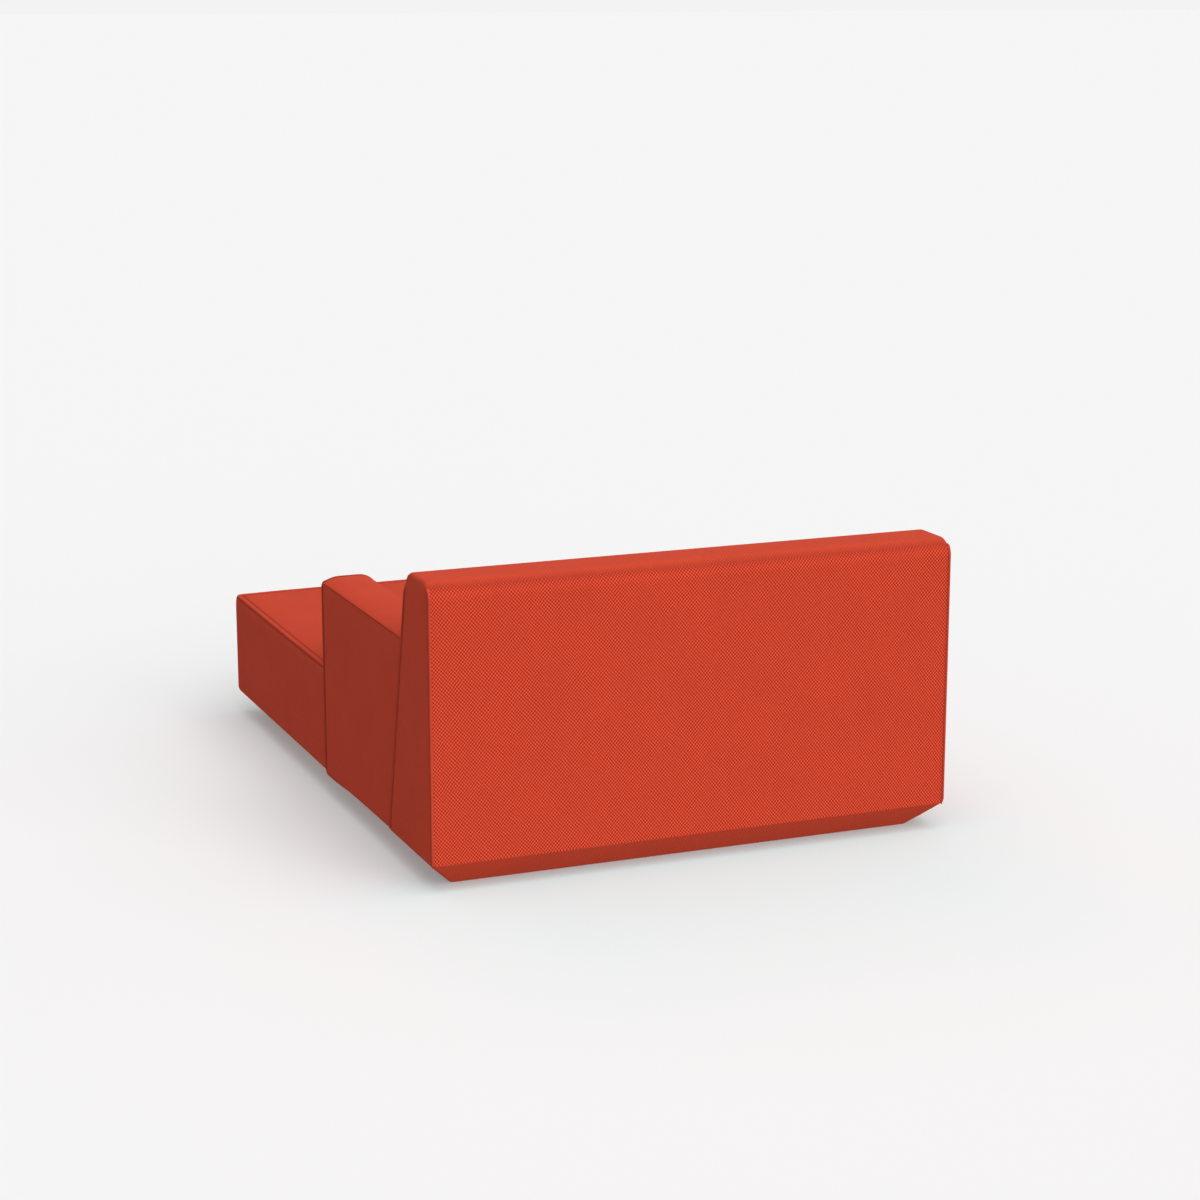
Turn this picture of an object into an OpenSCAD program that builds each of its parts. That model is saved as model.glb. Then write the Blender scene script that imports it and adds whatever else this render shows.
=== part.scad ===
/* [Overall] */
// Width from the arm side to the open side
overall_w = 1600; // [1300:10:2200]
// Length from the rear face to the front of the seat
overall_l = 2080; // [1750:10:2600]
// Height of the back above the floor
back_h = 880; // [780:5:1000]
// Height of the arm above the floor
arm_h = 690; // [560:5:740]
// Height of the seat above the floor at its edge
seat_h = 411; // [385:1:460]
// Gap between the floor and the underside
floor_gap = 3; // [2:0.5:6]
// Height of the bevel round the bottom, which slopes at 45 degrees
bevel_h = 82; // [60:1:110]

/* [Back] */
// Depth of the back at the underside
back_foot_d = 396; // [340:1:460]
// Lean of the front face of the back, in degrees
back_lean = 13; // [8:0.5:16]
// Radius of the top edges of the back
back_edge_r = 50; // [30:1:55]
// Fall of the rear seam below the top of the back
back_seam_drop = 13; // [6:1:60]
// Thickness of the foam on the front of the back
back_foam_t = 70; // [40:5:90]
// Thickness of the foam on top of the back
back_top_foam_t = 30; // [15:1:60]

/* [Arm] */
// Width of the arm
arm_w = 180; // [140:5:260]
// Distance from the rear face to the front of the arm
arm_front_d = 1015; // [800:5:1300]
// Radius of the outer top edge of the arm
arm_outer_r = 45; // [15:1:60]
// Radius of the inner top edge of the arm
arm_inner_r = 65; // [15:1:75]
// Thickness of the foam on top of the arm
arm_foam_t = 40; // [20:1:60]

/* [Seat] */
// Radius of the front corners of the seat in plan
seat_corner_r = 18; // [6:1:40]
// Width of the edge roll between its two seams
roll_w = 20; // [16:1:40]
// Height of the edge roll
roll_h = 14; // [8:1:18]
// Rise of the seat top in the middle
seat_crown = 8; // [3:0.5:16]
// Thickness of the soft top foam
seat_top_foam_t = 60; // [40:5:80]
// Thickness of the firm core foam
seat_core_foam_t = 110; // [70:5:120]

/* [Layers] */
// Thickness of the cover cloth
cover_t = 2; // [1:0.25:3]
// Thickness of the wadding on the sides
side_pad_t = 10; // [6:1:16]
// Thickness of the wadding on the rear face
rear_pad_t = 6; // [4:1:12]
// Thickness of the thin rear board
rear_board_t = 3; // [2:0.5:5]
// Radius of the welts
welt_r = 3; // [1.5:0.25:4]
// Thickness of the dust cover
dust_t = 1; // [0.5:0.25:1.5]

/* [Frame] */
// Thickness of the gables, ribs and end boards
board_t = 18; // [12:1:25]
// Thickness of the outer panel of the arm
panel_t = 12; // [9:1:18]
// Thickness of the rails
rail_t = 30; // [26:1:40]
// Height of the bolt rails and the lower rear rail
bolt_rail_h = 100; // [70:5:110]
// Height of the middle rear rail
middle_rail_h = 80; // [50:5:120]
// Width of the plinth bars at the underside
plinth_foot_w = 23; // [16:1:40]
// Width of the webbing straps
web_w = 60; // [40:5:80]
// Thickness of the webbing straps
web_t = 1.5; // [1:0.25:3]
// Distance from one strap to the next
web_pitch = 120; // [90:5:200]

/* [Fixings] */
// Shank radius of the bolts that join the units
bolt_r = 4; // [3:0.5:5]
// Head radius of the bolts
bolt_head_r = 8; // [6:0.5:10]
// Head height of the bolts
bolt_head_h = 5; // [3:0.5:8]
// Flange radius of the tee nuts
tee_flange_r = 11; // [9:0.5:14]
// Flange thickness of the tee nuts
tee_flange_t = 1.5; // [1:0.25:3]
// Wall of the barrel of a tee nut
tee_wall = 1.5; // [1:0.25:2.5]
// Length of the barrel of a tee nut
tee_l = 9; // [6:1:14]

/* [Glides] */
// Radius of a glide pad
pad_r = 20; // [14:1:25]
// Height of a glide pad
pad_h = 7; // [6.5:0.5:10]
// Radius of a glide stem
stem_r = 4; // [3:0.5:5]
// Length of a glide stem
stem_l = 52; // [40:1:54]
// Side of the square glide blocks
block_w = 60; // [56:1:80]
// Radius of the flange of a threaded insert
insert_flange_r = 12; // [10:0.5:14]
// Thickness of the flange of a threaded insert
insert_flange_t = 2; // [1.5:0.25:3]
// Wall of the sleeve of a threaded insert
insert_wall = 3; // [2:0.25:4]
// Length of the sleeve of a threaded insert
insert_l = 25; // [15:1:35]
// Width across the corners of the key socket in a stem
key_d = 4.6; // [3:0.1:5]

/* [Hidden] */

$fn = 64;

// Cloth, wood and the rest, as they look
cloth_colour = "#c94532";
weave_colour = "#cf4a35";
welt_colour = "#8f3323";
wood_colour = "#c9a777";
ply_colour = "#d2b487";
board_colour = "#8b6b49";
foam_colour = "#e9e0b8";
firm_foam_colour = "#b9cfc8";
wadding_colour = "#f1efe9";
web_colour = "#3a3a3c";
dust_colour = "#242426";
steel_colour = "#b8bcc0";
pad_colour = "#2a2a2c";

// Gap left between two units, and between bars at a mitre
unit_gap = 0.5;
// Gap under a piece that stands on the next with play
stop_gap = 0.3;
// Gap between layers on the slope of the back, and between lengths of its welts
lay_gap = 0.02;
// Play between a round piece and the hole it sits or turns in
bore_play = 0.05;
// Play round a bolt in a rail
bolt_play = 0.3;
// How far a cutting shape runs past what it cuts
over = 40;
// Length of bolt that stands out of its tee nut
bolt_tip = 4;
// Depth of the key socket in a stem
key_depth = 5;
// Gap round a glide pad in the dust cover
pad_ring = 3;
// How far the dust cover stays inside the edge of the underside
dust_margin = 6;
// Floor left under the socket of a glide pad
pad_floor = 3;

// Places of the bolts, as shares of the length that they hold
back_bolt_shares = [0.15, 0.5, 0.85];
arm_bolt_shares = [0.3, 0.7];
// Places of the middle ribs, as shares of the width
rib_shares = [0.34, 0.67];
// Places of the free cross rails, as shares of the seat in front of the arm
cross_rail_shares = [0, 0.5];
// Steps in the crown of the seat top
crown_steps = 20;
// Height of the middle rear rail as a share of the back's height
middle_rail_share = 0.5;

under_z = floor_gap + dust_t;
welt_d = 2 * welt_r;
plinth_in = bevel_h + plinth_foot_w;
side_in = cover_t + side_pad_t;
frame_rear = cover_t + rear_pad_t + rear_board_t;
frame_top = back_h - cover_t - back_top_foam_t;
foam_in = cover_t + back_foam_t;
web_in = foam_in + lay_gap;
frame_in = web_in + web_t + lay_gap;
bolt_rail_z = bevel_h + bolt_rail_h;
bolt_z = bevel_h + bolt_rail_h / 2;
notch_d = arm_front_d + unit_gap;
notch_u = arm_w + unit_gap;
rail_top = seat_h - cover_t - seat_top_foam_t - seat_core_foam_t - 2 * web_t;
core_z = rail_top + 2 * web_t;
top_foam_z = core_z + seat_core_foam_t;
seam_z = seat_h - roll_h;
arm_frame_top = arm_h - cover_t - arm_foam_t;
arm_board_in = side_in + panel_t;
arm_rail_u = arm_w - rail_t;
seam_top_z = back_h - back_seam_drop;
middle_rail_z = back_h * middle_rail_share;
insert_r = stem_r + bore_play + insert_wall;
tee_r = bolt_r + bore_play + tee_wall;
block_z = pad_h + stop_gap + insert_flange_t;
glide_in = plinth_in + block_w / 2;
stem_z = pad_floor + stop_gap;

// Depth of the front face of the back at height z, moved in by i square to the face
function back_front(z, i = 0) = back_foot_d - (z - floor_gap) * tan(back_lean) - i / cos(back_lean);
back_bolt_d = back_front(bevel_h);

function unit(v) = v / norm(v);
function half_angle(a, p, b) = acos(unit(a - p) * unit(b - p)) / 2;
function tangent(a, p, b, r) =
    r <= 0 ? [p] : [for (q = [a, b]) p + unit(q - p) * r / tan(half_angle(a, p, b))];
function centre(a, p, b, r) = p + unit(unit(a - p) + unit(b - p)) * r / sin(half_angle(a, p, b));
function before(k, n) = (k + n - 1) % n;
function after(k, n) = (k + 1) % n;

// Outline whose corners are cut at their tangent points, with a disc set into each
module rounded(pts, radii) {
    n = len(pts);
    polygon([
        for (k = [0 : n - 1])
            each tangent(pts[before(k, n)], pts[k], pts[after(k, n)], radii[k])
    ]);
    for (k = [0 : n - 1])
        if (radii[k] > 0)
            translate(centre(pts[before(k, n)], pts[k], pts[after(k, n)], radii[k]))
                circle(r = radii[k]);
}

// Round bar along the line from p to q in the drawing plane
module straight_bar(p, q, r) {
    way = q - p;
    translate(p)
        rotate([0, 0, atan2(way.y, way.x)])
            rotate([0, 90, 0])
                cylinder(r = r, h = norm(way));
}

// Quarter or less of a ring at corner p, tangent to the ways to a and b
module corner_bar(a, p, b, corner_r, r) {
    c = centre(a, p, b, corner_r);
    t = tangent(a, p, b, corner_r);
    first = atan2(t[0].y - c.y, t[0].x - c.x);
    last = atan2(t[1].y - c.y, t[1].x - c.x);
    turn = last - first;
    sweep = turn > 180 ? turn - 360 : turn < -180 ? turn + 360 : turn;
    translate(c)
        rotate([0, 0, sweep > 0 ? first : last])
            rotate_extrude(angle = abs(sweep))
                translate([corner_r, 0])
                    circle(r = r);
}

// Round bar along an open route in the drawing plane, with rounded bends and a gap g before each
module bent_bar(pts, corner_r, r, g = 0) {
    n = len(pts);
    starts = [
        pts[0],
        for (k = [1 : n - 2]) tangent(pts[k - 1], pts[k], pts[k + 1], corner_r[k])[1]
    ];
    ends = [
        for (k = [1 : n - 2]) tangent(pts[k - 1], pts[k], pts[k + 1], corner_r[k])[0],
        pts[n - 1]
    ];
    for (k = [0 : n - 2]) {
        trim = g * unit(ends[k] - starts[k]);
        straight_bar(starts[k] + trim, ends[k] - trim, r);
    }
    for (k = [1 : n - 2])
        corner_bar(pts[k - 1], pts[k], pts[k + 1], corner_r[k], r);
}

// Everything is drawn with u across from the arm side, d forward from the rear face and z up,
// and is then turned so that the middle of the underside lies at the origin
module placed() translate([overall_w / 2, overall_l / 2, 0]) rotate([0, 0, 180]) children();

module block(u, d, z) translate([u[0], d[0], z[0]]) cube([u[1] - u[0], d[1] - d[0], z[1] - z[0]]);

// An outline in d and z, drawn out across the width
module along_u(u0, u1) translate([u0, 0, 0]) rotate([90, 0, 90]) linear_extrude(u1 - u0) children();

// An outline in u and z, drawn out along the length
module along_d(d0, d1) translate([0, d1, 0]) rotate([90, 0, 0]) linear_extrude(d1 - d0) children();

// An outline in plan, drawn up
module upright(z0, z1) translate([0, 0, z0]) linear_extrude(z1 - z0) children();

// Round hole or bar across the width, and along the length
module across_u(u, d, z, r) translate([u[0], d, z]) rotate([0, 90, 0]) cylinder(r = r, h = u[1] - u[0]);
module across_d(u, d, z, r) translate([u, d[0], z]) rotate([-90, 0, 0]) cylinder(r = r, h = d[1] - d[0]);

// Outline of the back from the side, moved in by i
module back_outline(i, low = bevel_h)
    rounded(
        [
            [i, low],
            [back_front(low, i), low],
            [back_front(back_h - i, i), back_h - i],
            [i, back_h - i]
        ],
        [0, 0, back_edge_r - i, back_edge_r - i]
    );

// Outline of the arm from the front, moved in by i
module arm_outline(i, low = bevel_h)
    rounded(
        [[i, low], [arm_w - i, low], [arm_w - i, arm_h - i], [i, arm_h - i]],
        [0, 0, arm_inner_r - i, arm_outer_r - i]
    );

// Outline of the seat in plan, with its three outer sides moved in by i
module seat_outline(i)
    rounded(
        [
            [i, notch_d],
            [notch_u, notch_d],
            [notch_u, 0],
            [overall_w - i, 0],
            [overall_w - i, overall_l - i],
            [i, overall_l - i]
        ],
        [0, 0, 0, 0, max(seat_corner_r - i, 0), max(seat_corner_r - i, 0)]
    );

// All the space behind the front face of the back, moved in by i
module behind(i = 0)
    along_u(-over, overall_w + over)
        polygon([
            [-over, -over],
            [back_front(-over, i), -over],
            [back_front(back_h + over, i), back_h + over],
            [-over, back_h + over]
        ]);

module arm_space()
    difference() {
        block([0, arm_w], [0, arm_front_d], [0, back_h]);
        behind(-unit_gap);
    }

// A bar outline, drawn from the outer face inwards, run along one side and mitred at both ends
module run_rear(w)
    intersection() {
        along_u(0, overall_w) children();
        upright(0, back_h) polygon([[0, 0], [overall_w, 0], [overall_w - w, w], [w, w]]);
    }
module run_front(w) translate([0, overall_l, 0]) mirror([0, 1, 0]) run_rear(w) children();
module run_arm_side(w, g = 0)
    intersection() {
        along_d(0, overall_l) children();
        upright(0, back_h) polygon([[0, g], [w, w + g], [w, overall_l - w - g], [0, overall_l - g]]);
    }
module run_open_side(w, g = 0) translate([overall_w, 0, 0]) mirror([1, 0, 0]) run_arm_side(w, g) children();

// The same section run along the three outer sides of the seat, mitred with a gap g
module seat_sides(w, g = unit_gap)
    difference() {
        union() {
            run_front(w) children();
            run_arm_side(w, g) children();
            run_open_side(w, g) children();
        }
        behind(-unit_gap);
        block([-over, notch_u], [-over, notch_d], [-over, back_h]);
    }

// Section of a plinth bar with its sloping face moved in by the cover
module plinth_section() {
    in = cover_t * sqrt(2);
    polygon([[bevel_h + in - under_z, under_z], [plinth_in, under_z], [plinth_in, bevel_h], [in, bevel_h]]);
}

// Section of the cover on the bevel
module bevel_section() {
    in = cover_t * sqrt(2);
    polygon([[bevel_h - under_z, under_z], [bevel_h + in - under_z, under_z], [in, bevel_h], [0, bevel_h]]);
}

// Section of the edge roll
module roll_section()
    translate([0, seam_z])
        rounded(
            [[0, 0], [roll_w, 0], [roll_w, roll_h], [0, roll_h]],
            [for (k = [0 : 3]) (roll_h - stop_gap) / 2]
        );

// Low arch over the span from a to b, which rises by the seat's crown
module arch(a, b, z)
    polygon([
        [a, 0],
        for (k = [0 : crown_steps])
            let (t = 2 * k / crown_steps - 1)
                [(a + b) / 2 + t * (b - a) / 2, z + seat_crown * (1 - t * t)],
        [b, 0]
    ]);

// Solid under the crowned seat top, whose rim lies at height z
module crowned(z)
    intersection() {
        upright(0, back_h) seat_outline(roll_w);
        along_u(0, overall_w) arch(0, overall_l - roll_w, z);
        along_d(0, overall_l) arch(roll_w, overall_w - roll_w, z);
    }

// The frame shape shared by gables and ribs, with a foot that reaches the bolt rail
module rib_section()
    intersection() {
        polygon([
            [frame_rear, bevel_h],
            [back_bolt_d - rail_t, bevel_h],
            [back_bolt_d - rail_t, bolt_rail_z],
            [back_front(bolt_rail_z, frame_in), bolt_rail_z],
            [back_front(frame_top, frame_in), frame_top],
            [frame_rear, frame_top]
        ]);
        back_outline(cover_t);
    }

rib_us = [for (s = rib_shares) s * overall_w];
back_bolt_us = [for (s = back_bolt_shares) notch_u + s * (overall_w - side_in - notch_u)];
arm_bolt_ds = [for (s = arm_bolt_shares) back_bolt_d + s * (arm_front_d - back_bolt_d)];
rear_rail_u = [side_in + board_t, overall_w - side_in - board_t];
top_rail_z = frame_top - rail_t;
seat_rear_d = back_bolt_d + unit_gap;

// Where the four glides stand, in u and d
glide_places = [
    [glide_in, glide_in],
    [overall_w - glide_in, glide_in],
    [glide_in, overall_l - glide_in],
    [overall_w - glide_in, overall_l - glide_in]
];

// Back unit

module back_gables() placed() color(ply_colour) {
    along_u(side_in, side_in + board_t) rib_section();
    along_u(overall_w - side_in - board_t, overall_w - side_in) rib_section();
}

module back_ribs() placed() color(ply_colour)
    difference() {
        for (u = rib_us)
            along_u(u - board_t / 2, u + board_t / 2) rib_section();
        top_rail_bar();
        rear_rail_bars();
    }

module top_rail_bar()
    block(rear_rail_u, [frame_rear, back_front(frame_top, frame_in)], [top_rail_z, frame_top]);

module back_top_rail() placed() color(wood_colour) top_rail_bar();

module rear_rail_bars() {
    block(rear_rail_u, [frame_rear, frame_rear + rail_t], [bevel_h, bolt_rail_z]);
    block(rear_rail_u, [frame_rear, frame_rear + rail_t], [middle_rail_z, middle_rail_z + middle_rail_h]);
}

module back_rear_rails() placed() color(wood_colour) rear_rail_bars();

module back_bolt_rail() placed() color(wood_colour)
    difference() {
        block([notch_u, overall_w - side_in], [back_bolt_d - rail_t, back_bolt_d], [bevel_h, bolt_rail_z]);
        for (u = back_bolt_us)
            across_d(u, [back_bolt_d - rail_t - over, back_bolt_d + over], bolt_z, bolt_r + bolt_play);
    }

module back_plinth_bars() placed() color(wood_colour)
    intersection() {
        union() {
            run_rear(plinth_in) plinth_section();
            run_arm_side(plinth_in, unit_gap) plinth_section();
            run_open_side(plinth_in, unit_gap) plinth_section();
        }
        behind();
        block([0, overall_w], [0, overall_l], [0, bevel_h]);
    }

module back_rear_board() placed() color(board_colour)
    block(
        [side_in, overall_w - side_in],
        [cover_t + rear_pad_t, frame_rear],
        [bevel_h, frame_top]
    );

module back_webbing() placed() color(web_colour)
    for (z = [bolt_rail_z + web_pitch / 2 : web_pitch : frame_top - web_w])
        along_u(side_in, overall_w - side_in)
            polygon([
                [back_front(z, web_in + web_t), z],
                [back_front(z, web_in), z],
                [back_front(z + web_w, web_in), z + web_w],
                [back_front(z + web_w, web_in + web_t), z + web_w]
            ]);

module back_front_foam() placed() color(foam_colour)
    along_u(side_in, overall_w - side_in)
        intersection() {
            back_outline(cover_t);
            polygon([
                [back_front(bolt_rail_z + web_t, foam_in), bolt_rail_z + web_t],
                [back_front(bolt_rail_z + web_t), bolt_rail_z + web_t],
                [back_front(frame_top), frame_top],
                [back_front(frame_top, foam_in), frame_top]
            ]);
        }

module back_top_foam() placed() color(foam_colour)
    along_u(side_in, overall_w - side_in)
        intersection() {
            back_outline(cover_t);
            translate([0, frame_top]) square([back_foot_d, back_h - frame_top]);
        }

module back_rear_wadding() placed() color(wadding_colour)
    along_u(side_in, overall_w - side_in)
        intersection() {
            back_outline(cover_t);
            translate([0, bevel_h]) square([cover_t + rear_pad_t, frame_top - bevel_h]);
        }

// Padding on the arm side of the back, drawn in where the welt runs
module side_padding() {
    along_u(welt_d, side_in) back_outline(cover_t);
    along_u(cover_t, welt_d) back_outline(welt_d);
}

module back_side_wadding() placed() color(wadding_colour) {
    side_padding();
    translate([overall_w, 0, 0]) mirror([1, 0, 0]) side_padding();
}

// Cloth round the back from the side
module back_cloth()
    difference() {
        back_outline(0);
        back_outline(cover_t, -over);
    }

// What lies behind the rear seam, below it
module below_rear_seam() translate([-over, -over]) square([over + back_edge_r, over + seam_top_z]);

module back_rear_cover() placed() color(weave_colour)
    along_u(welt_d, overall_w - welt_d)
        intersection() {
            back_cloth();
            below_rear_seam();
        }

module back_wrap_cover() placed() color(cloth_colour)
    along_u(welt_d, overall_w - welt_d)
        difference() {
            back_cloth();
            below_rear_seam();
            translate([-over, -over]) square([over + overall_l, over + bolt_rail_z + web_t]);
        }

module back_arm_side_cover() placed() color(cloth_colour) along_u(0, cover_t) back_outline(welt_d);

module back_open_side_cover() placed() color(cloth_colour)
    along_u(overall_w - cover_t, overall_w) back_outline(welt_d);

// Route of a welt up the front edge of a side, over its top and down its rear edge
module back_welt_route()
    bent_bar(
        [
            [back_front(bevel_h, welt_r), bevel_h],
            [back_front(back_h - welt_r, welt_r), back_h - welt_r],
            [welt_r, back_h - welt_r],
            [welt_r, bevel_h]
        ],
        [0, back_edge_r - welt_r, back_edge_r - welt_r, 0],
        welt_r,
        lay_gap
    );

module back_welts() placed() color(welt_colour)
    for (u = [welt_r, overall_w - welt_r])
        translate([u, 0, 0]) rotate([90, 0, 90]) back_welt_route();

// Arm unit

module arm_outer_panel() placed() color(ply_colour)
    intersection() {
        block([side_in, arm_board_in], [0, arm_front_d - side_in], [bevel_h, arm_frame_top]);
        arm_space();
    }

module arm_inner_panel() placed() color(ply_colour)
    intersection() {
        block([arm_rail_u, arm_w - side_in], [0, arm_front_d - side_in], [bolt_rail_z, arm_frame_top]);
        arm_space();
    }

module arm_end_boards() placed() color(ply_colour) {
    u = [arm_board_in, arm_rail_u];
    z = [bevel_h, arm_frame_top - rail_t];
    block(u, [seat_rear_d, seat_rear_d + board_t], z);
    block(u, [arm_front_d - side_in - board_t, arm_front_d - side_in], z);
}

module arm_top_rail() placed() color(wood_colour)
    intersection() {
        block(
            [arm_board_in, arm_rail_u],
            [0, arm_front_d - side_in],
            [arm_frame_top - rail_t, arm_frame_top]
        );
        arm_space();
    }

module arm_bolt_rail() placed() color(wood_colour)
    difference() {
        block([arm_rail_u, arm_w], [seat_rear_d, arm_front_d - side_in], [bevel_h, bolt_rail_z]);
        for (d = arm_bolt_ds)
            across_u([arm_rail_u - over, arm_w + over], d, bolt_z, bolt_r + bolt_play);
    }

module arm_plinth_bar() placed() color(wood_colour)
    intersection() {
        run_arm_side(plinth_in) plinth_section();
        arm_space();
    }

module arm_padding(u, z)
    intersection() {
        along_d(0, arm_front_d - side_in)
            intersection() {
                arm_outline(cover_t);
                translate([u[0], z[0]]) square([u[1] - u[0], z[1] - z[0]]);
            }
        arm_space();
    }

module arm_top_foam() placed() color(foam_colour) arm_padding([0, arm_w], [arm_frame_top, arm_h]);

module arm_inner_foam() placed() color(foam_colour)
    arm_padding([arm_w - side_in, arm_w], [bolt_rail_z, arm_frame_top]);

module arm_outer_wadding() placed() color(wadding_colour) arm_padding([0, side_in], [bevel_h, arm_frame_top]);

module arm_front_wadding() placed() color(wadding_colour) {
    along_d(arm_front_d - side_in, arm_front_d - welt_d) arm_outline(cover_t);
    along_d(arm_front_d - welt_d, arm_front_d - cover_t) arm_outline(welt_d);
}

module arm_outer_cover() placed() color(cloth_colour)
    intersection() {
        block([0, cover_t], [0, arm_front_d - welt_d], [bevel_h, arm_h - arm_outer_r]);
        arm_space();
    }

module arm_wrap_cover() placed() color(cloth_colour)
    intersection() {
        along_d(0, arm_front_d - welt_d)
            difference() {
                arm_outline(0);
                arm_outline(cover_t, -over);
                square([cover_t, arm_h - arm_outer_r]);
                square([arm_w, bolt_rail_z]);
            }
        arm_space();
    }

module arm_front_cover() placed() color(cloth_colour)
    along_d(arm_front_d - cover_t, arm_front_d) arm_outline(welt_d);

// Welt up the outer edge of the arm's front face, over the top and down the inner edge
module arm_welt() placed() color(welt_colour)
    translate([0, arm_front_d - welt_r, 0])
        rotate([90, 0, 0])
            bent_bar(
                [
                    [welt_r, bevel_h],
                    [welt_r, arm_h - welt_r],
                    [arm_w - welt_r, arm_h - welt_r],
                    [arm_w - welt_r, bevel_h]
                ],
                [0, arm_outer_r - welt_r, arm_inner_r - welt_r, 0],
                welt_r
            );

// Seat unit

seat_rail_z = [bevel_h, rail_top];

module seat_front_rail() placed() color(wood_colour)
    block([side_in, overall_w - side_in], [overall_l - side_in - rail_t, overall_l - side_in], seat_rail_z);

module seat_rear_rail() placed() color(wood_colour)
    difference() {
        block([notch_u + rail_t, overall_w - side_in - rail_t], [seat_rear_d, seat_rear_d + rail_t], seat_rail_z);
        for (u = back_bolt_us) {
            across_d(u, [seat_rear_d - over, seat_rear_d + rail_t + over], bolt_z, bolt_r + bolt_play);
            across_d(u, [seat_rear_d + rail_t - tee_l, seat_rear_d + rail_t + over], bolt_z, tee_r + bore_play);
        }
    }

module seat_side_rails() placed() color(wood_colour) {
    block([side_in, side_in + rail_t], [notch_d, overall_l - side_in - rail_t], seat_rail_z);
    block(
        [overall_w - side_in - rail_t, overall_w - side_in],
        [seat_rear_d, overall_l - side_in - rail_t],
        seat_rail_z
    );
}

module seat_inner_rail() placed() color(wood_colour)
    difference() {
        block([notch_u, notch_u + rail_t], [seat_rear_d, notch_d], seat_rail_z);
        for (d = arm_bolt_ds) {
            across_u([notch_u - over, notch_u + rail_t + over], d, bolt_z, bolt_r + bolt_play);
            across_u([notch_u + rail_t - tee_l, notch_u + rail_t + over], d, bolt_z, tee_r + bore_play);
        }
    }

module seat_cross_rails() placed() color(wood_colour)
    for (s = cross_rail_shares) {
        d = notch_d + s * (overall_l - notch_d);
        block([side_in + rail_t, overall_w - side_in - rail_t], [d, d + rail_t], seat_rail_z);
    }

module seat_plinth_bars() placed() color(wood_colour) seat_sides(plinth_in) plinth_section();

module seat_long_webbing() placed() color(web_colour) {
    z = [rail_top, rail_top + web_t];
    for (u = [notch_u + rail_t : web_pitch : overall_w - side_in - web_w])
        block([u, u + web_w], [seat_rear_d, overall_l - side_in], z);
    block([side_in + rail_t, side_in + rail_t + web_w], [notch_d, overall_l - side_in], z);
}

module seat_cross_webbing() placed() color(web_colour) {
    z = [rail_top + web_t, core_z];
    for (d = [seat_rear_d + rail_t : web_pitch : overall_l - side_in - web_w])
        block([d < notch_d ? notch_u : side_in, overall_w - side_in], [d, d + web_w], z);
}

module seat_core_foam() placed() color(firm_foam_colour)
    difference() {
        upright(core_z, top_foam_z) seat_outline(side_in);
        behind(-unit_gap);
    }

module seat_top_foam() placed() color(foam_colour)
    difference() {
        union() {
            upright(top_foam_z, seam_z) seat_outline(side_in);
            intersection() {
                crowned(seat_h - cover_t);
                block([0, overall_w], [0, overall_l], [seam_z, back_h]);
            }
        }
        behind(-unit_gap);
    }

module seat_border_wadding() placed() color(wadding_colour)
    intersection() {
        seat_sides(side_in)
            translate([cover_t, bevel_h]) square([side_pad_t, seam_z - bevel_h]);
        upright(0, back_h) seat_outline(cover_t);
    }

module seat_border_cover() placed() color(cloth_colour)
    difference() {
        upright(bevel_h, seam_z)
            difference() {
                seat_outline(0);
                seat_outline(cover_t);
            }
        behind(-unit_gap);
    }

module seat_edge_roll() placed() color(cloth_colour)
    intersection() {
        seat_sides(roll_w) roll_section();
        upright(0, back_h) seat_outline(0);
    }

module seat_top_cover() placed() color(cloth_colour)
    difference() {
        crowned(seat_h);
        crowned(seat_h - cover_t);
        behind(-unit_gap);
    }

// Shared pieces

module bevel_covers() placed() color(cloth_colour) {
    intersection() {
        union() {
            run_rear(plinth_in) bevel_section();
            run_arm_side(plinth_in) bevel_section();
            run_open_side(plinth_in) bevel_section();
        }
        behind();
    }
    intersection() {
        run_arm_side(plinth_in) bevel_section();
        arm_space();
    }
    seat_sides(plinth_in, 0) bevel_section();
}

module dust_cover() placed() color(dust_colour) {
    in = bevel_h - floor_gap + dust_margin;
    difference() {
        block([in, overall_w - in], [in, overall_l - in], [floor_gap, under_z]);
        for (p = glide_places)
            translate([p.x, p.y, -over]) cylinder(r = pad_r + pad_ring, h = 2 * over);
    }
}

module glide_blocks() placed() color(wood_colour)
    for (p = glide_places)
        translate(p)
            difference() {
                block(
                    [-block_w / 2, block_w / 2],
                    [-block_w / 2, block_w / 2],
                    [block_z, bevel_h]
                );
                translate([0, 0, -over]) cylinder(r = stem_r + bolt_play, h = over + back_h);
                cylinder(r = insert_r + bore_play, h = block_z + insert_l);
            }

module glide_inserts() placed() color(steel_colour)
    for (p = glide_places)
        translate([p.x, p.y, block_z - insert_flange_t])
            difference() {
                union() {
                    cylinder(r = insert_flange_r, h = insert_flange_t);
                    cylinder(r = insert_r, h = insert_flange_t + insert_l);
                }
                translate([0, 0, -over]) cylinder(r = stem_r + bore_play, h = 2 * over + insert_l);
            }

// Bolt with its head at the start of the way and its tip past the tee nut
module bolt() {
    translate([0, 0, -bolt_head_h])
        difference() {
            cylinder(r = bolt_head_r, h = bolt_head_h);
            translate([0, 0, -over]) cylinder(d = 2 * bolt_r, h = over + bolt_head_h / 2, $fn = 6);
        }
    cylinder(r = bolt_r, h = 2 * rail_t + unit_gap + tee_flange_t + bolt_tip);
}

// Tee nut whose flange lies against the far side of the second rail
module tee_nut()
    translate([0, 0, 2 * rail_t + unit_gap])
        difference() {
            union() {
                cylinder(r = tee_flange_r, h = tee_flange_t);
                translate([0, 0, -tee_l]) cylinder(r = tee_r, h = tee_l);
            }
            translate([0, 0, -over]) cylinder(r = bolt_r + bore_play, h = 2 * over);
        }

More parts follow.
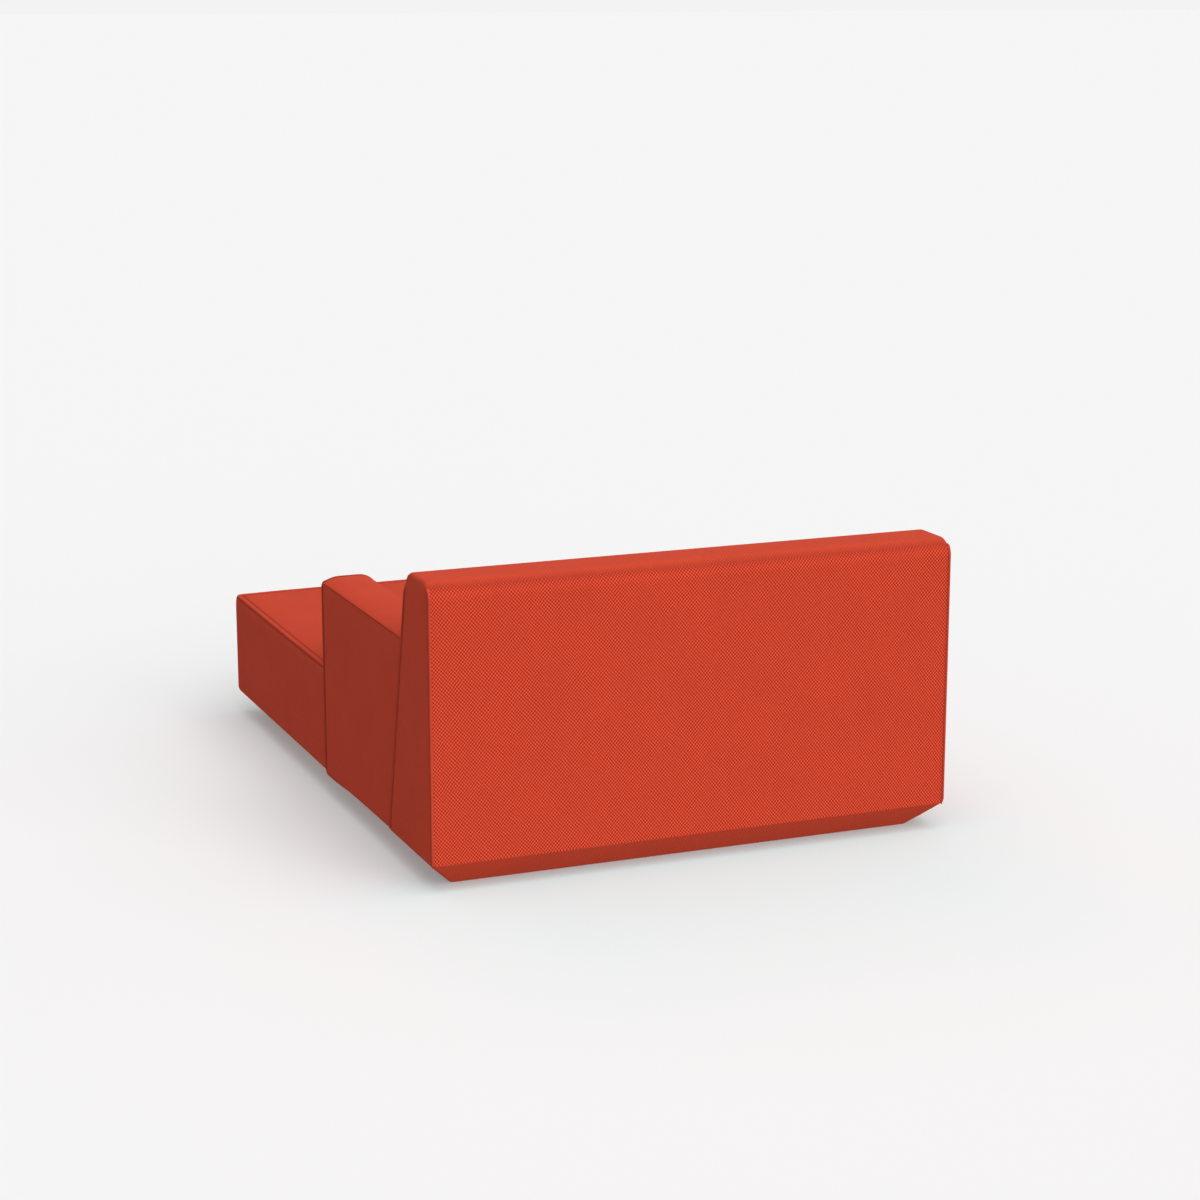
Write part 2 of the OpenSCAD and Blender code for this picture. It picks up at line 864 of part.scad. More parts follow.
// One at each bolt of the back and of the arm
module at_bolts() {
    for (u = back_bolt_us)
        translate([u, back_bolt_d - rail_t, bolt_z]) rotate([-90, 0, 0]) children();
    for (d = arm_bolt_ds)
        translate([arm_rail_u, d, bolt_z]) rotate([0, 90, 0]) children();
}

module unit_bolts() placed() color(steel_colour) at_bolts() bolt();

module tee_nuts() placed() color(steel_colour) at_bolts() tee_nut();

module glide_pad(place) placed() color(pad_colour)
    translate(place)
        difference() {
            cylinder(r = pad_r, h = pad_h);
            translate([0, 0, pad_floor]) cylinder(r = stem_r + bore_play, h = pad_h);
        }

module glide_stem(place) placed() color(steel_colour)
    translate([place.x, place.y, stem_z])
        difference() {
            cylinder(r = stem_r, h = stem_l);
            translate([0, 0, stem_l - key_depth]) cylinder(d = key_d, h = over, $fn = 6);
        }

back_gables();
back_ribs();
back_top_rail();
back_rear_rails();
back_bolt_rail();
back_plinth_bars();
back_rear_board();
back_webbing();
back_front_foam();
back_top_foam();
back_rear_wadding();
back_side_wadding();
back_rear_cover();
back_wrap_cover();
back_arm_side_cover();
back_open_side_cover();
back_welts();
arm_outer_panel();
arm_inner_panel();
arm_end_boards();
arm_top_rail();
arm_bolt_rail();
arm_plinth_bar();
arm_top_foam();
arm_inner_foam();
arm_outer_wadding();
arm_front_wadding();
arm_outer_cover();
arm_wrap_cover();
arm_front_cover();
arm_welt();
seat_front_rail();
seat_rear_rail();
seat_side_rails();
seat_inner_rail();
seat_cross_rails();
seat_plinth_bars();
seat_long_webbing();
seat_cross_webbing();
seat_core_foam();
seat_top_foam();
seat_border_wadding();
seat_border_cover();
seat_edge_roll();
seat_top_cover();
bevel_covers();
dust_cover();
glide_blocks();
glide_inserts();
unit_bolts();
tee_nuts();
glide_pad(glide_places[0]);  // glide_pad_1
glide_pad(glide_places[1]);  // glide_pad_2
glide_pad(glide_places[2]);  // glide_pad_3
glide_pad(glide_places[3]);  // glide_pad_4
glide_stem(glide_places[0]);  // glide_stem_1
glide_stem(glide_places[1]);  // glide_stem_2
glide_stem(glide_places[2]);  // glide_stem_3
glide_stem(glide_places[3]);  // glide_stem_4
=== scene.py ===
"""Dresses the frame of a recamier daybed in its cloth and sets it on a plain stage.

Pieces are drawn with u across from the arm side, d forward from the rear face and z up, in metres,
as in the part's source. The cloth is modelled panel by panel, with rolled edges where the seams run.
"""

import math
from contextlib import contextmanager
import bmesh
import bpy
import numpy as np
from bpy.props import FloatProperty, FloatVectorProperty, IntProperty, PointerProperty
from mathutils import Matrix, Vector


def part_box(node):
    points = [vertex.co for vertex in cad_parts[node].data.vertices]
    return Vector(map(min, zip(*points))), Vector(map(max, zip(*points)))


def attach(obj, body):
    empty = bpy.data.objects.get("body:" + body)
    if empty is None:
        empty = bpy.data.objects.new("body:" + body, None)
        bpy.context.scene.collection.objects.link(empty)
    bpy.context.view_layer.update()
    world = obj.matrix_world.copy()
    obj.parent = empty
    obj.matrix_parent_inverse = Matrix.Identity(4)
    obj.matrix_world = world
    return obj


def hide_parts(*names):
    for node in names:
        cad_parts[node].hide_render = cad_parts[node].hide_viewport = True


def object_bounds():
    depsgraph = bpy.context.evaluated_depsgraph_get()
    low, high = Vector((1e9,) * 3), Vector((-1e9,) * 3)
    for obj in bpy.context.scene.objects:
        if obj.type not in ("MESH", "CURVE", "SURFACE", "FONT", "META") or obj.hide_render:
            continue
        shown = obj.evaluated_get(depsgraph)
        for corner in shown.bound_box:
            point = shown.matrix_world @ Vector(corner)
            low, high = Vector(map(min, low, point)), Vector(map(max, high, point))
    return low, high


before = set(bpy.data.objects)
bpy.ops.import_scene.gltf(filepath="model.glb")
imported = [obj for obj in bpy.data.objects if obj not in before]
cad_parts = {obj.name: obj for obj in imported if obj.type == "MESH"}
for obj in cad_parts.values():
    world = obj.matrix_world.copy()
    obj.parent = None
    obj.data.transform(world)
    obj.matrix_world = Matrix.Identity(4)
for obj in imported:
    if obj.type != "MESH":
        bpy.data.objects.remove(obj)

bl_info = {
    "name": "Recamier daybed",
    "version": (1, 0, 0),
    "blender": (4, 5, 0),
    "location": "View3D > Sidebar > Daybed",
    "description": "Covers a daybed's frame in cloth, panel by panel, and sets it on a plain stage",
    "category": "Object",
}

MM = 0.001
CRISP = 0.0006  # radius of an edge that stays sharp
BODY = "daybed"
CAD_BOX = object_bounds()
WIDTH = CAD_BOX[1][0] - CAD_BOX[0][0]
LENGTH = CAD_BOX[1][1] - CAD_BOX[0][1]
SEAT_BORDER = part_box("seat_border_cover")
BACK_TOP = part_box("back_wrap_cover")[1][2] - MM
REAR_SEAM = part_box("back_rear_cover")[1][2] - 0.0045
ARM_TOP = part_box("arm_wrap_cover")[1][2]
ARM_FRONT = CAD_BOX[1][1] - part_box("arm_front_cover")[0][1]


def length(name, about, default):
    """A length that a user may change."""
    return FloatProperty(
        name=name, description=about, default=default, min=0.0, subtype="DISTANCE", unit="LENGTH"
    )


def angle(name, about, degrees):
    """An angle that a user may change."""
    return FloatProperty(name=name, description=about, default=math.radians(degrees), subtype="ANGLE")


def strength(name, about, default, most=100.0):
    """A strength that a user may change."""
    return FloatProperty(name=name, description=about, default=default, min=0.0, max=most)


def direction(name, about, default):
    """A direction that a user may change."""
    return FloatVectorProperty(name=name, description=about, default=default, size=3)


def colour(name, about, default):
    """A linear colour that a user may change."""
    return FloatVectorProperty(
        name=name, description=about, default=default, size=3, min=0.0, max=1.0, subtype="COLOR"
    )


class DaybedSizes(bpy.types.PropertyGroup):
    """Sizes of the daybed's cloth pieces"""

    back_height: length("Back height", "Height of the back above the floor", BACK_TOP)
    back_foot: length("Back depth", "Depth of the back at the underside", 0.396)
    back_lean: angle("Back lean", "Lean of the front of the back", 13)
    back_edge: length("Back edge radius", "Radius of the top edges of the back", 0.050)
    rear_seam: length("Rear seam height", "Height of the seam under the rear top edge", REAR_SEAM)
    rear_padding: length("Rear padding", "Cloth and wadding on the rear face", 0.008)
    top_roll: length("Top roll", "Radius of the soft edges at both ends of the back's top", 0.013)
    side_padding: length("Side padding", "Cloth and wadding on the sides", 0.012)
    arm_width: length("Arm width", "Width of the arm", 0.180)
    arm_height: length("Arm height", "Height of the arm above the floor", ARM_TOP)
    arm_front: length("Arm front", "Distance from the rear face to the arm's front", ARM_FRONT)
    arm_edge: length("Arm edge radius", "Radius of the arm's inner top edge", 0.065)
    arm_shoulder: length("Arm shoulder", "Fall of the arm's top towards its outer seam", 0.017)
    shoulder_width: length("Arm shoulder width", "How far the arm's shoulder reaches inwards", 0.055)
    seat_height: length("Seat height", "Height of the seat at its edge", SEAT_BORDER[1][2] + 0.014)
    seat_crown: length("Seat crown", "Rise of the seat in its middle", 0.008)
    seat_corner: length("Seat corner radius", "Radius of the seat's front corners", 0.008)
    front_rise: length("Front rise", "Rise of the seat's front edge from its corners to its middle", 0.0048)
    seat_foam: length("Seat foam", "Depth of the soft foam under the seat's cloth", 0.062)
    roll_width: length("Roll width", "Width of the edge roll between its seams", 0.020)
    bevel_height: length("Bevel height", "Height of the bevel round the bottom", SEAT_BORDER[0][2])
    floor_gap: length("Floor gap", "Gap between the floor and the underside", 0.003)
    skirt_gap: length("Skirt gap", "Gap between the floor and the cloth of the bevel", 0.0008)
    panel_gap: length("Panel gap", "Gap between the back and what stands before it", 0.0005)
    welt: length("Welt radius", "Radius of the welts' cord", 0.003)
    welt_body: length("Welt body", "Radius of a welt with its cover", 0.004)
    welt_out: length("Welt reach", "How far a welt stands out past a side", 0.0026)
    welt_proud: length("Welt height", "How far a welt stands out past the front and the rear", 0.0018)
    cloth: length("Cloth thickness", "Thickness of the cover cloth", 0.002)
    swell: length("Swell", "How far the cloth may swell over its padding", 0.0022)


class DaybedColours(bpy.types.PropertyGroup):
    """Colours of the daybed's materials"""

    yarn_light: colour("Light yarn", "Yarn that shows as dots on the cloth", (0.76, 0.112, 0.052))
    yarn_dark: colour("Dark yarn", "Yarn that lies between the dots", (0.43, 0.010, 0.003))
    welt_cloth: colour("Welt cloth", "Cloth of the welts, cut across the weave", (0.60, 0.066, 0.030))
    # Painted shade: the colour that the cloth is mixed towards in the seams' grooves and where a piece lies
    # in shade
    seam: colour("Seams", "Cloth that is drawn down into a seam", (0.20, 0.018, 0.009))
    pine: colour("Pine", "Rails and blocks", (0.56, 0.36, 0.17))
    pine_grain: colour("Pine grain", "Late wood in the rails", (0.36, 0.19, 0.07))
    birch: colour("Birch ply", "Boards of plywood", (0.62, 0.44, 0.25))
    birch_grain: colour("Birch grain", "Grain of the plywood", (0.44, 0.27, 0.12))
    hardboard: colour("Hardboard", "Thin board behind the rear wadding", (0.20, 0.105, 0.045))
    foam: colour("Foam", "Soft foam", (0.80, 0.72, 0.46))
    firm_foam: colour("Firm foam", "Firm foam of the seat's core", (0.46, 0.62, 0.57))
    wadding: colour("Wadding", "Fibre wadding", (0.86, 0.85, 0.80))
    webbing: colour("Webbing", "Elastic straps", (0.035, 0.035, 0.038))
    web_stripe: colour("Webbing stripe", "Stripe in the straps", (0.30, 0.045, 0.030))
    dust: colour("Dust cover", "Cloth under the frame", (0.018, 0.018, 0.020))
    zinc: colour("Zinc", "Plated steel", (0.52, 0.54, 0.56))
    plastic: colour("Plastic", "Pads of the glides", (0.022, 0.022, 0.024))
    floor: colour("Floor", "Floor under the daybed", (0.815, 0.72, 0.72))
    # Painted correction of light: a cooler floor behind the back, where the cloth's red bounce light falls
    floor_bounce_cancel: colour("Cool floor", "Floor behind the back, against the cloth's red", (0.60, 0.72, 0.72))
    floor_bounce: colour("Floor bounce", "Light from the floor to the daybed", (0.265, 0.265, 0.265))
    rear_bounce: colour("Rear bounce", "Light from the floor behind the back", (0.36, 0.36, 0.36))
    floor_glow: colour("Floor glow", "Light that the floor adds to the picture", (0.09, 0.18, 0.18))


class DaybedLight(bpy.types.PropertyGroup):
    """Light and view"""

    sky: strength("Sky", "Strength of the even light", 0.50)
    key: strength("Key lamp", "Strength of the soft key lamp", 1.25)
    softness: angle("Softness", "Angle that the key lamp fills", 60)
    key_way: direction("Key direction", "The way in which the key light falls", (0.08, -0.34, -0.93))
    fill: strength("Fill lamp", "Strength of the low fill lamp", 1.7)
    fill_softness: angle("Fill softness", "Angle that the fill lamp fills", 60)
    fill_way: direction("Fill direction", "The way in which the fill light falls", (0.22, -0.94, -0.25))
    backdrop: strength("Backdrop", "Grey that the camera sees", 0.896, most=1.0)
    quiet_steps: IntProperty(
        name="Cloth steps", description="Steps of the cloth simulation", default=20, min=1
    )


def sizes():
    """The sizes that the scene keeps."""
    return bpy.context.scene.daybed_sizes


def colours():
    """The colours that the scene keeps."""
    return bpy.context.scene.daybed_colours


# Places


def xyz(u, d, z):
    """Frame coordinates of a place across, forward and up."""
    return (WIDTH / 2 - u, LENGTH / 2 - d, z)


def way(u, d, z):
    """Frame direction of a direction across, forward and up."""
    return (-u, -d, z)


def back_front(z, inset=0.0):
    """Depth of the front of the back at height z, moved in by inset square to the face."""
    s = sizes()
    return s.back_foot - (z - s.floor_gap) * math.tan(s.back_lean) - inset / math.cos(s.back_lean)


def back_inside(p, inset=0.0):
    """How far inside the back's outline each point lies, and the way out to it in d and z."""
    s = sizes()
    r, top, lean = s.back_edge - inset, s.back_height - inset, s.back_lean
    half = (math.pi / 2 + lean) / 2
    centres = ((inset + r, top - r), (back_front(top, inset) - r / math.tan(half), top - r))
    front = s.back_foot - (p[:, 2] - s.floor_gap) * math.tan(lean) - inset / math.cos(lean)
    planes = np.array([p[:, 1] - inset, top - p[:, 2], (front - p[:, 1]) * math.cos(lean)])
    ways = np.array([[-1, 0], [0, 1], [math.cos(lean), math.sin(lean)]])
    nearest = planes.argmin(axis=0)
    depth, out = planes.min(axis=0), ways[nearest]
    for number, (d, z) in enumerate(centres):
        v = np.column_stack([p[:, 1] - d, p[:, 2] - z])
        if number == 0:
            here = (v[:, 0] < 0) & (v[:, 1] > 0)
        else:
            here = (v[:, 0] > 0) & (v[:, 1] * math.cos(lean) - v[:, 0] * math.sin(lean) > 0)
        far = np.maximum(np.linalg.norm(v, axis=1), 1e-9)
        depth = np.where(here, r - far, depth)
        out = np.where(here[:, None], v / far[:, None], out)
    return depth, out


def over_top(p, late=0.0):
    """How far each point of the back belongs to its soft top, which has no welt, from 0 to 1."""
    s = sizes()
    behind = p[:, 1] < 0.1
    start = np.where(behind, s.rear_seam - 0.004 + late, s.back_height - 0.060)
    reach = np.where(behind, 0.005, 0.034)
    t = clamp((p[:, 2] - start) / reach)
    return t * t * (3 - 2 * t)


def steps(low, high, pitch, edges=(), low_edge=True, high_edge=True):
    """Places of even cuts between low and high, with closer ones by the edges."""
    n = max(1, round((high - low) / pitch))
    even = [low + (high - low) * k / n for k in range(1, n)]
    near = [low + e for e in edges if low_edge] + [high - e for e in edges if high_edge]
    keep = [p for p in even if all(abs(p - q) > 0.4 * pitch for q in near)]
    return sorted(keep + near)


def clamp(x):
    """x kept from 0 to 1."""
    return np.clip(x, 0, 1)


def least(*values):
    """The smallest of several values, point by point."""
    return np.minimum.reduce(values)


def bell(x, width):
    """A bell curve, one where x is nought."""
    return np.exp(-((x / width) ** 2))


# Modelling as by hand


def only(obj):
    """Select obj alone and make it active."""
    if bpy.context.object and bpy.context.object.mode != "OBJECT":
        bpy.ops.object.mode_set(mode="OBJECT")
    bpy.ops.object.select_all(action="DESELECT")
    obj.select_set(True)
    bpy.context.view_layer.objects.active = obj


@contextmanager
def shaping(obj, select="FACE"):
    """Edit mode on obj, with nothing selected at first."""
    only(obj)
    bpy.ops.object.mode_set(mode="EDIT")
    bpy.ops.mesh.select_mode(type=select)
    bpy.ops.mesh.select_all(action="DESELECT")
    yield
    bpy.ops.object.mode_set(mode="OBJECT")


def named(name):
    """Take the new primitive, name it and put its place into its mesh."""
    obj = bpy.context.object
    obj.name = obj.data.name = name
    only(obj)
    bpy.ops.object.transform_apply(location=True, rotation=True, scale=True)
    return obj


def block(name, u, d, z):
    """A block between two places on each way, to be shaped further."""
    middle = xyz((u[0] + u[1]) / 2, (d[0] + d[1]) / 2, (z[0] + z[1]) / 2)
    bpy.ops.object.select_all(action="DESELECT")
    bpy.ops.mesh.primitive_cube_add(size=1, location=middle, scale=(u[1] - u[0], d[1] - d[0], z[1] - z[0]))
    return named(name)


def pick(obj, kind, test):
    """Select faces, edges or points whose middle (u, d, z) and normal or direction pass the test."""
    form = bmesh.from_edit_mesh(obj.data)
    for item in getattr(form, kind):
        if kind == "verts":
            middle, line = item.co, item.normal
        elif kind == "edges":
            middle = (item.verts[0].co + item.verts[1].co) / 2
            line = (item.verts[1].co - item.verts[0].co).normalized()
        else:
            middle, line = item.calc_center_median(), item.normal
        here = (WIDTH / 2 - middle.x, LENGTH / 2 - middle.y, middle.z)
        item.select_set(bool(test(here, (-line.x, -line.y, line.z))))
    form.select_flush_mode()
    bmesh.update_edit_mesh(obj.data)


def drop_faces(obj, test):
    """Delete the faces that pass the test, so that an open sheet is left."""
    with shaping(obj):
        pick(obj, "faces", test)
        bpy.ops.mesh.delete(type="FACE")


def slide(obj, test, by):
    """Move the points that pass the test."""
    with shaping(obj, "VERT"):
        pick(obj, "verts", test)
        bpy.ops.transform.translate(value=way(*by))


def round_edges(obj, radius, segments, test):
    """Bevel the edges that pass the test."""
    with shaping(obj, "EDGE"):
        pick(obj, "edges", test)
        bpy.ops.mesh.bevel(offset=radius, segments=segments, profile=0.5, affect="EDGES")


def cut_off(obj, at, towards, fill=True):
    """Cut obj along a plane and take away what lies on the side that it faces."""
    with shaping(obj):
        bpy.ops.mesh.select_all(action="SELECT")
        bpy.ops.mesh.bisect(plane_co=xyz(*at), plane_no=way(*towards), use_fill=fill, clear_outer=True)


def slices(obj, axis, places):
    """Cut obj through at each place along u, d or z."""
    towards = way(*(float(axis == a) for a in "udz"))
    with shaping(obj):
        for p in places:
            bpy.ops.mesh.select_all(action="SELECT")
            bpy.ops.mesh.bisect(plane_co=xyz(*(p if axis == a else 0.0 for a in "udz")), plane_no=towards)


def cut_behind(obj, gap, fill=True):
    """Take away what lies behind the front of the back."""
    s = sizes()
    lean = s.back_lean
    cut_off(obj, (0, back_front(0.0, -gap), 0), (0, -math.cos(lean), -math.sin(lean)), fill)


def with_modifier(obj, kind, **settings):
    """Add a modifier, set it and apply it."""
    only(obj)
    modifier = obj.modifiers.new(kind.title(), kind)
    for name, value in settings.items():
        setattr(modifier, name, value)
    bpy.ops.object.modifier_apply(modifier=modifier.name)


def thicken(obj, thickness):
    """Give an open sheet its thickness inwards."""
    with_modifier(obj, "SOLIDIFY", thickness=thickness, offset=-1, use_even_offset=True, use_rim=True)


def refine(obj):
    """One subdivision, which rounds every fold."""
    with_modifier(obj, "SUBSURF", levels=1, render_levels=1)


def clean(obj):
    """Merge doubles, close the ends and turn every face outwards."""
    with shaping(obj, "VERT"):
        bpy.ops.mesh.select_all(action="SELECT")
        bpy.ops.mesh.remove_doubles(threshold=1e-5)
        bpy.ops.mesh.select_all(action="SELECT")
        bpy.ops.mesh.fill_holes(sides=0)
        bpy.ops.mesh.select_all(action="SELECT")
        bpy.ops.mesh.normals_make_consistent(inside=False)


def smooth(obj, angle=35):
    """Shade smooth, but for edges that are sharper than angle in degrees."""
    only(obj)
    bpy.ops.object.shade_smooth_by_angle(angle=math.radians(angle))


def pipe(name, start, turned, radius, legs, around=12):
    """A round welt from start, run straight and turned through its legs. A leg is a way and a
    number of steps, or a centre, an axis, an angle and a number of steps."""
    bpy.ops.object.select_all(action="DESELECT")
    bpy.ops.mesh.primitive_circle_add(
        vertices=around, radius=radius, fill_type="NOTHING", location=xyz(*start), rotation=turned
    )
    obj = named(name)
    with shaping(obj, "EDGE"):
        bpy.ops.mesh.select_all(action="SELECT")
        for leg in legs:
            if len(leg) == 2:
                part = [w / leg[1] for w in way(*leg[0])]
                for _ in range(leg[1]):
                    bpy.ops.mesh.extrude_edges_move(TRANSFORM_OT_translate={"value": part})
            else:
                centre, axis, angle, count = leg
                bpy.ops.mesh.spin(steps=count, angle=-angle, center=xyz(*centre), axis=axis)
    clean(obj)
    return obj


def copy_of(obj, name):
    """A copy with its own mesh, mirrored to the other side of the daybed."""
    only(obj)
    bpy.ops.object.duplicate()
    twin = bpy.context.object
    twin.name = twin.data.name = name
    with shaping(twin, "VERT"):
        bpy.ops.mesh.select_all(action="SELECT")
        bpy.ops.transform.resize(value=(-1, 1, 1), center_override=(0, 0, 0))
        bpy.ops.mesh.select_all(action="SELECT")
        bpy.ops.mesh.normals_make_consistent(inside=False)
    return twin


# Moves of points in code, as a sculptor's


def points(obj):
    """The mesh's points as rows of u, d, z."""
    co = np.empty(len(obj.data.vertices) * 3)
    obj.data.vertices.foreach_get("co", co)
    co = co.reshape(-1, 3)
    return np.column_stack([WIDTH / 2 - co[:, 0], LENGTH / 2 - co[:, 1], co[:, 2]])


def set_points(obj, rows):
    """Move the mesh's points to rows of u, d, z."""
    co = np.column_stack([WIDTH / 2 - rows[:, 0], LENGTH / 2 - rows[:, 1], rows[:, 2]])
    obj.data.vertices.foreach_set("co", co.ravel())
    obj.data.update()


def normals(obj):
    """The points' normals as rows of u, d, z."""
    rows = np.empty(len(obj.data.vertices) * 3)
    obj.data.vertices.foreach_get("normal", rows)
    return rows.reshape(-1, 3) * (-1, -1, 1)


def press(obj, depth):
    """Move each point inwards, square to the surface."""
    set_points(obj, points(obj) - normals(obj) * depth[:, None])


def roll_off(distance, radius):
    """Depth of a quarter round at a distance from an edge."""
    near = np.clip(radius - distance, 0, radius)
    return radius - np.sqrt(radius**2 - near**2)


def before_back(p, gap=0.0):
    """How far each point stands before the front of the back, square to it."""
    return (p[:, 1] - back_front(p[:, 2], -gap)) * math.cos(sizes().back_lean)


def ripple(p, size, seed=0.0):
    """Slow unevenness over a surface, from minus one to one."""
    q = p / size + seed
    return (
        np.sin(q[:, 0] * 2.1 + np.sin(q[:, 1] * 1.3 + seed))
        + np.sin(q[:, 1] * 1.7 + 1.9 * np.sin(q[:, 2] * 1.1 + 2 * seed))
        + np.sin(q[:, 2] * 2.3 + 1.4 * np.sin(q[:, 0] * 0.9 - seed))
    ) / 3


def swell(obj, free, cap, pressure=4.0):
    """Blow the cloth up over its padding with a cloth simulation. free is how freely each point
    moves, and no point moves further than cap, or inwards, where the padding stops it."""
    group = obj.vertex_groups.new(name="seams")
    for index, share in enumerate(free):
        group.add([index], float(1 - share), "REPLACE")
    only(obj)
    cloth = obj.modifiers.new("Cloth", "CLOTH")
    rule = cloth.settings
    rule.quality = 4
    rule.mass = 0.3
    rule.tension_stiffness = rule.compression_stiffness = 20
    rule.shear_stiffness = 8
    rule.bending_stiffness = 2
    rule.use_pressure = True
    rule.uniform_pressure_force = pressure
    rule.vertex_group_mass = "seams"
    rule.effector_weights.gravity = 0
    scene = bpy.context.scene
    last = scene.daybed_light.quiet_steps
    cloth.point_cache.frame_start, cloth.point_cache.frame_end = 1, last
    before, outward = points(obj), normals(obj)
    for number in range(1, last + 1):
        scene.frame_set(number)
    only(obj)
    bpy.ops.object.modifier_apply(modifier="Cloth")
    scene.frame_set(1)
    moved = points(obj) - before
    moved -= outward * np.minimum((moved * outward).sum(axis=1), 0)[:, None]
    far = np.linalg.norm(moved, axis=1)
    scale = np.where(far > 1e-9, cap * np.tanh(far / cap) / np.maximum(far, 1e-9), 0)
    set_points(obj, before + moved * (scale * (free > 0))[:, None])
    obj.vertex_groups.clear()


def lay(obj, across, along):
    """Lay the cloth: a UV map in metres from each point's place."""
    p = points(obj)
    a, b = across(p), along(p)
    mesh = obj.data
    index = np.empty(len(mesh.loops), dtype=np.int64)
    mesh.loops.foreach_get("vertex_index", index)
    layer = mesh.uv_layers.get("cloth") or mesh.uv_layers.new(name="cloth")
    layer.data.foreach_set("uv", np.column_stack([a[index], b[index]]).astype(np.float32).ravel())


def paint_seam_shade(obj, distance, reach=0.004, shade=0.0):
    """Keep how near each point is to a seam, or how far it lies in shade, for the finish, which darkens the
    cloth by it: painted shade in the seams' grooves and over shaded parts.
    """
    value = np.maximum(np.exp(-np.maximum(distance, 0) / reach), shade)
    mesh = obj.data
    made = mesh.attributes.get("seam") or mesh.attributes.new("seam", "FLOAT", "POINT")
    made.data.foreach_set("value", value.astype(np.float32))


def girth(line):
    """A function that gives how far along a line in d and z each point lies."""
    line = np.array(line, dtype=float)
    start, part = line[:-1], np.diff(line, axis=0)
    size = np.linalg.norm(part, axis=1)
    start, part, size = start[size > 1e-9], part[size > 1e-9], size[size > 1e-9]
    run = np.concatenate([[0], np.cumsum(size)[:-1]])

    def along(p):
        q = p[:, 1:3]
        best, out = np.full(len(q), np.inf), np.zeros(len(q))
        for a, v, n, r in zip(start, part, size, run):
            t = clamp(((q - a) @ v) / (n * n))
            gap = np.linalg.norm(q - a - t[:, None] * v, axis=1)
            out = np.where(gap < best, r + t * n, out)
            best = np.minimum(best, gap)
        return out

    return along


# Materials


class Value:
    """A number that varies over the surface. Sums on it add Math nodes."""

    def __init__(self, finish, socket):
        self.finish, self.socket = finish, socket

    def math(self, operation, *others):
        """This number and others put through a Math node."""
        inputs = {0: self, **dict(enumerate(others, 1))}
        return self.finish.node("ShaderNodeMath", {"operation": operation}, inputs)

    def __add__(self, other):
        return self.math("ADD", other)

    def __mul__(self, other):
        return self.math("MULTIPLY", other)

    def __sub__(self, other):
        return self.math("SUBTRACT", other)

    def __truediv__(self, other):
        return self.math("DIVIDE", other)

    def __rsub__(self, other):
        return self.finish.node("ShaderNodeMath", {"operation": "SUBTRACT"}, {0: other, 1: self})

    __radd__, __rmul__ = __add__, __mul__

    def cos(self):
        return self.math("COSINE")

    def swing(self, amount):
        """A noise as a change of this size about nought."""
        return (self - 0.5) * amount

    def ramp(self, low, high, to_low=0.0, to_high=1.0):
        """Smooth steps from low to high."""
        return self.finish.node(
            "ShaderNodeMapRange",
            {"interpolation_type": "SMOOTHSTEP"},
            {0: self, 1: low, 2: high, 3: to_low, 4: to_high},
        )


